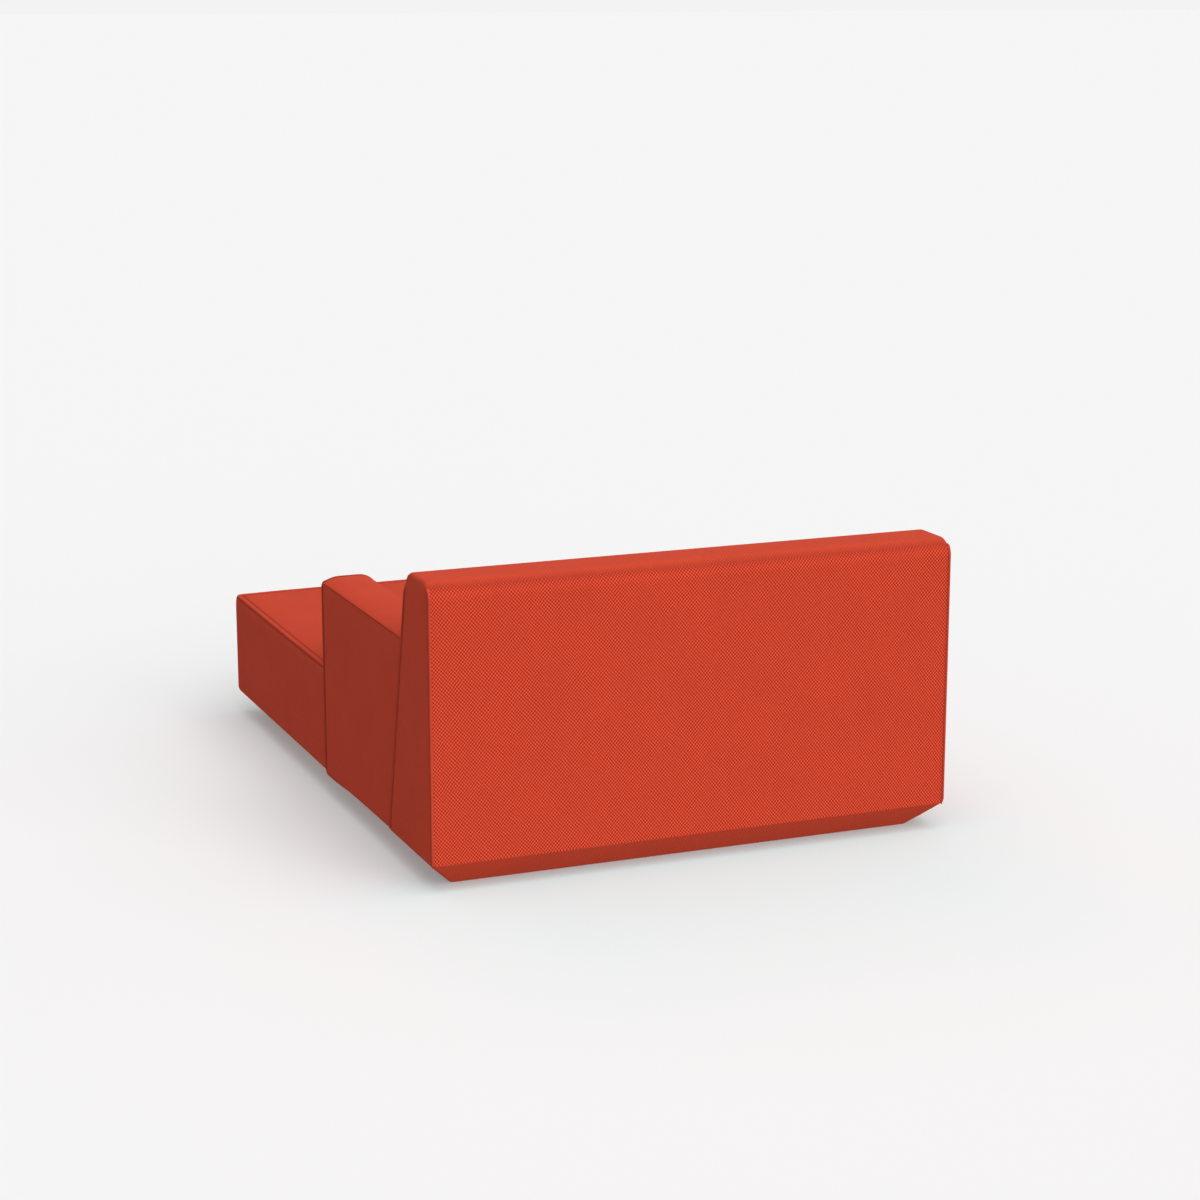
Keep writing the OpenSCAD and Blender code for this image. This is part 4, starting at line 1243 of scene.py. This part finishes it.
def arm_front_panel():
    """The arm's front face with its wadding."""
    s = sizes()
    inset, low, far = 2 * s.welt, s.bevel_height, s.arm_width - 2 * s.welt
    top, r, front = s.arm_height - inset, s.arm_edge - inset, s.arm_front
    obj = block("arm_front_panel", (inset, far), (front - s.side_padding, front), (low, top))
    on_top = lambda m, w: abs(w[1]) > 0.9 and m[2] > top - MM
    round_edges(obj, r, 8, lambda m, w: on_top(m, w) and m[0] > 0.1)
    round_edges(obj, 0.008, 3, lambda m, w: on_top(m, w) and m[0] < 0.05)
    round_edges(obj, 0.003, 4, lambda m, w: m[1] > front - MM / 2 and m[2] > low + MM)
    slices(obj, "u", steps(inset, far, 0.016, EDGE_CUTS))
    slices(obj, "z", [low + CRISP, *steps(low, top, PITCH, EDGE_CUTS)])
    shape_shoulder(obj)
    edge = lambda q: least(q[:, 0] - inset, far - q[:, 0], top - shoulder(q[:, 0]) - q[:, 2])
    p = points(obj)
    ahead = p[:, 1] > front - s.side_padding + MM
    swell(obj, ahead * clamp(np.minimum(edge(p), p[:, 2] - low) / SWELL_REACH), s.swell * PANEL_SWELL)
    refine(obj)
    # Painted shade along the seams
    paint_seam_shade(obj, edge(points(obj)) + 0.002)
    inwards = lambda q: front - q[:, 1]
    lay(obj, lambda q: q[:, 0] + inwards(q) * np.sign(q[:, 0] - 0.09), lambda q: q[:, 2] + inwards(q))
    smooth(obj)
    dress(obj, "cover_cloth", "arm_front_cover", "arm_front_wadding")


def arm_welt():
    """The welt along the arm's foot, up its front, over its top and down the inner edge."""
    s = sizes()
    r, top = s.welt_body, s.arm_height
    out, ahead, turn = r - s.welt_out, s.arm_front - r + 2 * s.welt_proud, 0.014
    rear, low = s.arm_front - 0.30, s.bevel_height + hem(0.98, "arm")
    outer, inner, high = 0.006, s.arm_edge - r, top - r + 0.0012
    obj = pipe(
        "arm_front_welt",
        (out, rear, low),
        (math.pi / 2, 0, 0),
        r,
        [
            ((0, ahead - turn - rear, 0), 20),
            ((out, ahead - turn, low + turn), (1, 0, 0), -math.pi / 2, 6),
            ((0, 0, high - outer - low - turn), 30),
            ((out + outer, ahead, high - outer), (0, 1, 0), -math.pi / 2, 5),
            ((s.arm_width - inner - r - out - outer, 0, 0), 16),
            ((s.arm_width - r - inner, ahead, high - inner), (0, 1, 0), -math.pi / 2, 10),
            ((0, 0, -(high - inner - s.bevel_height)), 30),
        ],
    )
    shape_shoulder(obj)
    p = points(obj)
    bottom = clamp((low + turn - p[:, 2]) / turn) * (p[:, 0] < 0.02)
    thin = bottom * clamp(1 - (p[:, 1] - rear) / 0.2)
    p[:, 0] += thin * 0.8 * (out + 0.002 - p[:, 0])
    p[:, 2] += thin * 0.8 * (low - p[:, 2]) + bottom * (hem(p[:, 1], "arm") - hem(0.98, "arm"))
    p[:, 2] += 0.0025 * bell(p[:, 0] - 0.004, 0.005) * (p[:, 2] > top - 0.04)
    set_points(obj, p)
    smooth(obj, 60)
    # Painted shade: the welt is darkened all along
    paint_seam_shade(obj, np.ones(len(p)), shade=WELT_SHADE)
    dress(obj, "welt_cloth", "arm_welt")


def rim(p):
    """How far inside the seat's straight sides each point lies."""
    return least(p[:, 0], WIDTH - p[:, 0], LENGTH - p[:, 1])


def plan_run(inset=0.0):
    """A function that gives how far round the seat's outer sides each point lies, from the arm."""
    s = sizes()
    r = max(s.seat_corner - inset, 0.001)
    side, far, front = inset + r, WIDTH - inset - r, LENGTH - inset - r
    turn = np.linspace(0, 1.5708, 7)
    line = [(inset, s.back_foot * 0.9), (inset, front)]
    line += [(side - r * math.cos(a), front + r * math.sin(a)) for a in turn]
    line += [(far + r * math.sin(a), front + r * math.cos(a)) for a in turn]
    line.append((WIDTH - inset, s.back_foot * 0.8))
    run = girth(line)
    return lambda q: run(q[:, [2, 0, 1]])


def front_rise(p):
    """Rise of the seat along its front edge."""
    across = np.maximum(np.minimum(p[:, 0], WIDTH - p[:, 0]), 0)
    high = clamp((p[:, 2] - 0.3) / 0.1) * clamp((p[:, 1] - LENGTH + 0.5) / 0.4)
    return sizes().front_rise * (1 - 0.55 * np.exp(-across / 0.1)) * high


def seat_border():
    """The seat's outer sides with their wadding, in one band round the front."""
    s = sizes()
    under_roll, pressed, pressed_over = 0.0045, 0.0040, 0.026
    low, top, corner = s.bevel_height, s.seat_height - under_roll, s.seat_corner
    rear = s.arm_front + s.panel_gap

    def around(p):
        """How far inside the rounded outline each point lies."""
        du = np.maximum(corner - np.minimum(p[:, 0], WIDTH - p[:, 0]), 0)
        dd = np.maximum(corner - (LENGTH - p[:, 1]), 0)
        return np.where((du > 0) & (dd > 0), corner - np.hypot(du, dd), rim(p))

    def ends(p):
        """How far each point lies from the band's ends at the arm and at the back."""
        return np.where(p[:, 0] < WIDTH / 2, p[:, 1] - rear, before_back(p, s.panel_gap))

    obj = block("seat_border", (0, WIDTH), (INSIDE_BACK, LENGTH), (low, top))
    cut_behind(obj, s.panel_gap, fill=False)
    round_edges(obj, corner, 6, lambda m, w: abs(w[2]) > 0.9 and m[1] > LENGTH - MM)
    slices(obj, "d", [rear])
    drop_faces(obj, lambda m, w: abs(w[2]) > 0.9 or w[1] < -0.5 or (m[0] < MM and m[1] < rear))
    thicken(obj, s.side_padding)
    clean(obj)
    outside = lambda m: around(np.array([m]))[0] < MM
    round_edges(obj, PANEL_EDGE, 4, lambda m, w: m[2] > top - MM and abs(w[2]) < 0.1 and outside(m))
    slices(obj, "u", steps(0.02, WIDTH - 0.02, PITCH))
    slices(obj, "d", steps(0.34, LENGTH - 0.02, PITCH))
    slices(obj, "z", [low + CRISP, *steps(low, top, PITCH, EDGE_CUTS)])
    p = points(obj)
    press(obj, roll_off(ends(p), 0.003) * (around(p) < s.side_padding / 2))
    p = points(obj)
    free = clamp(least(ends(p), top - p[:, 2], p[:, 2] - low) / SWELL_REACH)
    swell(obj, (around(p) < s.side_padding - MM) * free, s.swell * PANEL_SWELL)
    p = points(obj)
    by_roll = clamp(1 - (top - p[:, 2]) / pressed_over)
    press(obj, pressed * by_roll**2 * (around(p) < s.side_padding / 2))
    refine(obj)
    lower_hem(obj, "seat")
    lower_hem(obj, "seat", WIDTH)
    p = points(obj)
    # Painted shade along the top seam, the band's ends and down each front corner, where the rounding turns
    # from the light
    corner_line = np.hypot(np.minimum(p[:, 0], WIDTH - p[:, 0]) - corner, LENGTH - p[:, 1])
    paint_seam_shade(obj, least(ends(p), top - p[:, 2], corner_line) + 0.0003, 0.0035)
    lay(obj, plan_run(), lambda q: q[:, 2] + around(q) * np.sign(q[:, 2] - 0.3))
    p[:, 2] += front_rise(p)
    set_points(obj, p)
    smooth(obj)
    dress(obj, "cover_cloth", "seat_border_cover", "seat_border_wadding")


def seat_roll():
    """The flat roll between the two seams round the seat's edge."""
    s = sizes()
    half, bend, height = s.roll_width / 2, 0.0112, 0.007
    z, radius = s.seat_height - height + 0.0012, half - 0.0006
    first, last = s.arm_front + s.panel_gap, back_front(z, -s.panel_gap)
    front = LENGTH - half - bend
    obj = pipe(
        "seat_roll",
        (half, first, z),
        (math.pi / 2, 0, 0),
        radius,
        [
            ((0, front - first, 0), 52),
            ((half + bend, front, z), (0, 0, 1), -math.pi / 2, 5),
            ((WIDTH - 2 * half - 2 * bend, 0, 0), 80),
            ((WIDTH - half - bend, front, z), (0, 0, 1), -math.pi / 2, 5),
            ((0, last - front, 0), 84),
        ],
        around=16,
    )
    p = points(obj)
    p[:, 2] = z + (p[:, 2] - z) * (height / radius)
    p[:, 2] += 0.0004 * ripple(p, 0.05, 1.0) + front_rise(p)
    set_points(obj, p)
    refine(obj)
    # Painted shade along both seams, and a little over the whole roll
    paint_seam_shade(obj, half - np.abs(rim(points(obj)) - half) + 0.0005, 0.0035, shade=0.10)
    lay(obj, plan_run(half), lambda q: rim(q) - q[:, 2])
    smooth(obj, 60)
    dress(obj, "cover_cloth", "seat_edge_roll")


def seat_cushion():
    """The crowned top of the seat with its soft foam, round the arm's corner."""
    s = sizes()
    edge, gap = s.roll_width, s.panel_gap
    low, top = s.seat_height - s.seat_foam, s.seat_height
    rear, side = s.arm_front + gap, s.arm_width + gap
    obj = block("seat_cushion", (edge, WIDTH - edge), (rear, LENGTH - edge), (low, top))
    slices(obj, "u", [side])
    with shaping(obj):
        pick(obj, "faces", lambda m, w: w[1] < -0.9 and m[0] > side)
        back_to = way(0, INSIDE_BACK - rear, 0)
        bpy.ops.mesh.extrude_region_move(TRANSFORM_OT_translate={"value": back_to})
    cut_behind(obj, gap)
    round_edges(obj, 0.006, 3, lambda m, w: abs(w[2]) > 0.9 and m[1] > LENGTH - edge - MM)
    near = (0.0006, 0.0016, 0.003, 0.005, 0.008, 0.013, 0.020)
    slices(obj, "u", steps(side, WIDTH - edge, PITCH, near))
    slices(obj, "u", steps(edge, side, PITCH, near, high_edge=False))
    slices(obj, "d", steps(rear, LENGTH - edge, PITCH, near))
    slices(obj, "d", steps(back_front(top), rear, PITCH, near))

    def rims(p):
        """Distances from the roll, and from the back and the arm."""
        past_arm, past_front = p[:, 0] - side, p[:, 1] - rear
        beside = np.where(past_front < 0, past_arm, np.hypot(past_arm, past_front))
        notch = np.where(past_arm < 0, past_front, beside)
        return rim(p) - edge, np.minimum(before_back(p, gap), notch)

    p = points(obj)
    outer, inner = rims(p)
    upper = p[:, 2] > top - MM
    across = 1 - (2 * (p[:, 0] - edge) / (WIDTH - 2 * edge) - 1) ** 2
    along = 1 - (2 * p[:, 1] / (LENGTH - edge) - 1) ** 2
    rise = s.seat_crown * np.minimum(across, along)
    tuck = 0.0055 * np.exp(-np.maximum(outer, 0) / 0.007) + 0.009 * np.exp(-np.maximum(inner, 0) / 0.008)
    p[:, 2] += upper * (rise + 0.0018 * clamp(outer / 0.03) - tuck)
    set_points(obj, p)
    swell(obj, upper * clamp((np.minimum(outer, inner) - 0.006) / 0.04), s.swell * SEAT_SWELL)
    refine(obj)
    p = points(obj)
    # Painted shade along the roll, the back and the arm, and a little over the whole top, which the back
    # and the arm shade
    paint_seam_shade(obj, least(*rims(p)) + 0.0005, 0.005, shade=0.12)
    p[:, 2] += front_rise(p)
    set_points(obj, p)
    lay(obj, lambda q: q[:, 0], lambda q: q[:, 1] - np.where(q[:, 2] < top - 0.02, q[:, 2], 0))
    smooth(obj)
    dress(obj, "cover_cloth", "seat_top_cover", "seat_top_foam")


def bevel_body(name):
    """The whole bevel as an open band with four sloping sides."""
    s = sizes()
    low, high = s.skirt_gap, s.bevel_height
    fall = high - low
    obj = block(name, (0, WIDTH), (0, LENGTH), (low, high))
    for near, axis in ((0.0, 0), (WIDTH, 0), (0.0, 1), (LENGTH, 1)):
        by = [0.0, 0.0, 0.0]
        by[axis] = fall if near == 0 else -fall
        slide(obj, lambda m, w: m[2] < low + MM and abs(m[axis] - near) < MM, by)
    round_edges(obj, s.seat_corner, 3, lambda m, w: 0.2 < abs(w[2]) < 0.9)
    drop_faces(obj, lambda m, w: abs(w[2]) > 0.95)
    return obj


def finish_bevel(obj, unit, run):
    """Give a unit's part of the bevel its thickness, its swelling and its hem."""
    s = sizes()
    low, high = s.skirt_gap, s.bevel_height
    pitch, bulge, fade, by_corner = 0.05, 0.0012, 0.02, 0.09
    thicken(obj, s.cloth)
    slices(obj, "u", steps(0.0, WIDTH, pitch))
    slices(obj, "d", steps(0.0, LENGTH, pitch))
    slices(obj, "z", [low + CRISP, high - CRISP, *steps(low, high, 0.016)])
    share = lambda q: clamp((q[:, 2] - low) / (high - low))
    swelling = bulge * np.sin(share(points(obj)) * math.pi) ** 0.7
    press(obj, -swelling * (normals(obj)[:, 2] < -0.2))
    refine(obj)
    p = points(obj)
    side = clamp(1 - (p[:, 0] - np.clip(LENGTH - p[:, 1], 0, by_corner)) / fade)
    drawn = np.where(p[:, 1] < p[:, 0], REAR_HEM * (p[:, 1] < by_corner), hem(p[:, 1], unit) * side)
    p[:, 2] += drawn * share(p) ** 2
    set_points(obj, p)

    def along(q):
        on_side = np.minimum(q[:, 0], WIDTH - q[:, 0]) < np.minimum(q[:, 1], LENGTH - q[:, 1])
        return np.where(on_side, q[:, 1], q[:, 0])

    lay(obj, along, lambda q: (q[:, 2] - high) * math.sqrt(2))
    paint_seam_shade(obj, np.ones(len(p)))
    smooth(obj)
    dress(obj, "bevel_cloth", "bevel_covers")


def bevels():
    """The bevel's cloth, cut into a part for each unit."""
    s = sizes()
    lean, rear, deep = s.back_lean, s.arm_front + s.panel_gap, back_front(s.bevel_height)
    back = bevel_body("bevel_back")
    cut_off(back, (0, back_front(0.0), 0), (0, math.cos(lean), math.sin(lean)), fill=False)
    arm = bevel_body("bevel_arm")
    cut_behind(arm, s.panel_gap, fill=False)
    cut_off(arm, (0, s.arm_front, 0), (0, 1, 0), fill=False)
    drop_faces(arm, lambda m, w: m[0] > s.arm_width)
    seat = bevel_body("bevel_seat")
    cut_behind(seat, s.panel_gap, fill=False)
    slices(seat, "d", [rear])
    drop_faces(seat, lambda m, w: m[0] < s.arm_width and m[1] < rear)
    finish_bevel(back, "back", WIDTH + 2 * deep)
    finish_bevel(arm, "arm", s.arm_front - deep)
    finish_bevel(seat, "seat", WIDTH + 2 * LENGTH - rear - deep)


def dust_sheet():
    """The cloth under the frame, with a hole for each glide's pad."""
    low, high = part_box("dust_cover")
    pitch, clearance = 0.06, 0.003
    obj = block(
        "dust_sheet",
        (WIDTH / 2 - high[0], WIDTH / 2 - low[0]),
        (LENGTH / 2 - high[1], LENGTH / 2 - low[1]),
        (low[2], high[2]),
    )
    for number in range(1, 5):
        a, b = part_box(f"glide_pad_{number}")
        middle = ((a[0] + b[0]) / 2, (a[1] + b[1]) / 2, 0)
        radius = (b[0] - a[0]) / 2 + clearance
        bpy.ops.object.select_all(action="DESELECT")
        bpy.ops.mesh.primitive_cylinder_add(vertices=48, radius=radius, depth=0.02, location=middle)
        hole = named("dust_hole")
        with_modifier(obj, "BOOLEAN", operation="DIFFERENCE", object=hole, solver="EXACT")
        bpy.data.objects.remove(hole, do_unlink=True)
    slices(obj, "u", steps(0.1, WIDTH - 0.1, pitch))
    slices(obj, "d", steps(0.1, LENGTH - 0.1, pitch))
    p = points(obj)
    p[:, 2] += 0.0003 * ripple(p, 0.11, 0.3)
    set_points(obj, p)
    smooth(obj, 30)
    dress(obj, "dust_cloth", "dust_cover")


def frame_finishes():
    """Kept CAD parts take the material of their slot in the record."""
    slots = {
        "plywood": "back_gables back_ribs arm_outer_panel arm_inner_panel arm_end_boards",
        "hardboard": "back_rear_board",
        "webbing": "back_webbing seat_long_webbing seat_cross_webbing",
        "soft_foam": "back_front_foam back_top_foam arm_top_foam arm_inner_foam",
        "firm_foam": "seat_core_foam",
        "zinc_steel": "glide_inserts unit_bolts tee_nuts glide_stem",
        "pad_plastic": "glide_pad",
    }
    slot_of = {name: slot for slot, names in slots.items() for name in names.split()}
    for name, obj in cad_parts.items():
        kind = name.rstrip("_1234")  # the glides are numbered
        obj.data.materials.clear()
        obj.data.materials.append(finish(slot_of.get(kind, "frame_wood")))


# Stage


FOCAL_PIXELS, PICTURE_PIXELS = 2701.47, 1200  # as solved from the photograph
CAMERA_PLACE = (3.0431, 7.7712, 2.4583)
CAMERA_WAY = (-0.36778, -0.90267, -0.22343)


def turned_to(way):
    """The rotation that lets a camera or a lamp face along way."""
    return Vector(way).to_track_quat("-Z", "Y").to_euler()


def camera():
    """The photograph's camera."""
    data = bpy.data.cameras.new("view")
    data.sensor_width = 36
    data.lens = FOCAL_PIXELS / PICTURE_PIXELS * data.sensor_width
    data.clip_end = 500
    obj = bpy.data.objects.new("view", data)
    bpy.context.scene.collection.objects.link(obj)
    obj.location = CAMERA_PLACE
    obj.rotation_euler = turned_to(CAMERA_WAY)
    bpy.context.scene.camera = obj


def lamp(name, strength, softness, falls):
    """A lamp as wide as the angle softness."""
    data = bpy.data.lights.new(name, "SUN")
    data.energy = strength
    data.angle = softness
    obj = bpy.data.objects.new(name, data)
    bpy.context.scene.collection.objects.link(obj)
    obj.rotation_euler = turned_to(falls)


def lamps():
    """Two soft lamps, an even sky, and a backdrop that only the camera and reflections see."""
    light = bpy.context.scene.daybed_light
    lamp("key", light.key, light.softness, light.key_way)
    lamp("fill", light.fill, light.fill_softness, light.fill_way)
    world = bpy.context.scene.world or bpy.data.worlds.new("studio")
    bpy.context.scene.world = world
    world.use_nodes = True
    tree = world.node_tree
    f = Finish("studio", tree)
    seen = f.seen()
    lit = f.node("ShaderNodeBackground", inputs={"Color": (1, 1, 1), "Strength": light.sky})
    backdrop = f.node("ShaderNodeBackground", inputs={"Color": (light.backdrop,) * 3, "Strength": 1.0})
    mixed = f.node("ShaderNodeMixShader", inputs={0: seen, 1: lit, 2: backdrop})
    f.node("ShaderNodeOutputWorld", inputs={"Surface": mixed})


def floor():
    """A pale floor, whose glow and bounce keep its shadow as soft and as grey as in the photograph."""
    c = colours()
    bpy.ops.object.select_all(action="DESELECT")
    bpy.ops.mesh.primitive_plane_add(size=400, location=(0, 0, 0))
    obj = named("floor")
    f = Finish("floor")
    place = f.place()
    cloud = f.noise(place, 3.0, 2.0)
    seen = f.seen()
    x, y, _ = f.parts(place)
    behind = y - LENGTH / 2
    # Painted correction of light: the floor turns cooler behind the back, where the cloth's red bounce
    # light falls on it
    red = behind.ramp(-0.25, 0.0) * behind.ramp(-0.8, 1.5, 1.0, 0.0)
    red = red * x.math("ABSOLUTE").ramp(0.45, 1.25, 1.0, 0.0)
    base = f.blend((cloud - 0.5) * 0.01, c.floor, (0.9, 0.9, 0.9))
    base = f.blend(red, base, c.floor_bounce_cancel)
    base = f.blend(seen, (0.0, 0.0, 0.0), base)
    bounce = f.blend(behind.ramp(-0.2, 0.1), c.floor_bounce, c.rear_bounce)
    shader = f.node(
        "ShaderNodeBsdfPrincipled",
        inputs={
            "Base Color": base,
            "Roughness": 0.9,
            "Specular IOR Level": 0.0,
            "Emission Color": f.blend(seen, bounce, c.floor_glow),
            "Emission Strength": 1.0,
        },
    )
    f.material.cycles.emission_sampling = "NONE"
    f.node("ShaderNodeOutputMaterial", inputs={"Surface": shader})
    obj.data.materials.append(f.material)


# Operators


class DAYBED_OT_stage(bpy.types.Operator):
    """Set up the camera, the lamps and the floor"""

    bl_idname = "daybed.stage"
    bl_label = "Stage"

    def execute(self, context):
        camera()
        lamps()
        floor()
        return {"FINISHED"}


class DAYBED_OT_frame(bpy.types.Operator):
    """Give the frame's parts their materials"""

    bl_idname = "daybed.frame"
    bl_label = "Frame finishes"

    def execute(self, context):
        frame_finishes()
        return {"FINISHED"}


class DAYBED_OT_back_rear(bpy.types.Operator):
    """Cover the rear face of the back"""

    bl_idname = "daybed.back_rear"
    bl_label = "Rear panel"

    def execute(self, context):
        rear_panel()
        return {"FINISHED"}


class DAYBED_OT_back_wrap(bpy.types.Operator):
    """Cover the top and the front of the back"""

    bl_idname = "daybed.back_wrap"
    bl_label = "Back wrap"

    def execute(self, context):
        back_wrap()
        return {"FINISHED"}


class DAYBED_OT_back_sides(bpy.types.Operator):
    """Cover both sides of the back"""

    bl_idname = "daybed.back_sides"
    bl_label = "Back sides"

    def execute(self, context):
        side_panels()
        return {"FINISHED"}


class DAYBED_OT_back_welts(bpy.types.Operator):
    """Run a welt round both sides of the back"""

    bl_idname = "daybed.back_welts"
    bl_label = "Back welts"

    def execute(self, context):
        back_welts()
        return {"FINISHED"}


class DAYBED_OT_arm(bpy.types.Operator):
    """Cover the arm"""

    bl_idname = "daybed.arm"
    bl_label = "Arm"

    def execute(self, context):
        arm_side_panel()
        arm_wrap()
        arm_front_panel()
        arm_welt()
        return {"FINISHED"}


class DAYBED_OT_seat(bpy.types.Operator):
    """Cover the seat"""

    bl_idname = "daybed.seat"
    bl_label = "Seat"

    def execute(self, context):
        seat_border()
        seat_roll()
        seat_cushion()
        return {"FINISHED"}


class DAYBED_OT_bevels(bpy.types.Operator):
    """Cover the bevel round the bottom"""

    bl_idname = "daybed.bevels"
    bl_label = "Bevels"

    def execute(self, context):
        bevels()
        return {"FINISHED"}


class DAYBED_OT_dust(bpy.types.Operator):
    """Close the underside"""

    bl_idname = "daybed.dust"
    bl_label = "Dust cover"

    def execute(self, context):
        dust_sheet()
        return {"FINISHED"}


OPERATORS = [
    DAYBED_OT_stage,
    DAYBED_OT_frame,
    DAYBED_OT_back_rear,
    DAYBED_OT_back_wrap,
    DAYBED_OT_back_sides,
    DAYBED_OT_back_welts,
    DAYBED_OT_arm,
    DAYBED_OT_seat,
    DAYBED_OT_bevels,
    DAYBED_OT_dust,
]


class DAYBED_PT_panel(bpy.types.Panel):
    """Sizes, colours and pieces of the daybed"""

    bl_idname = "DAYBED_PT_panel"
    bl_label = "Daybed"
    bl_space_type = "VIEW_3D"
    bl_region_type = "UI"
    bl_category = "Daybed"

    def draw(self, context):
        for group in (context.scene.daybed_sizes, context.scene.daybed_colours, context.scene.daybed_light):
            box = self.layout.box()
            for name in group.__annotations__:
                box.prop(group, name)
        for made in OPERATORS:
            self.layout.operator(made.bl_idname)


CLASSES = [DaybedSizes, DaybedColours, DaybedLight, *OPERATORS, DAYBED_PT_panel]


def register():
    for cls in CLASSES:
        bpy.utils.register_class(cls)
    bpy.types.Scene.daybed_sizes = PointerProperty(type=DaybedSizes)
    bpy.types.Scene.daybed_colours = PointerProperty(type=DaybedColours)
    bpy.types.Scene.daybed_light = PointerProperty(type=DaybedLight)


def unregister():
    del bpy.types.Scene.daybed_sizes
    del bpy.types.Scene.daybed_colours
    del bpy.types.Scene.daybed_light
    for cls in reversed(CLASSES):
        bpy.utils.unregister_class(cls)


def main():
    register()
    bpy.context.scene.view_settings.view_transform = "Standard"
    for made in OPERATORS:
        group, name = made.bl_idname.split(".")
        getattr(getattr(bpy.ops, group), name)()
    bpy.ops.object.select_all(action="DESELECT")


if __name__ == "__main__":
    main()
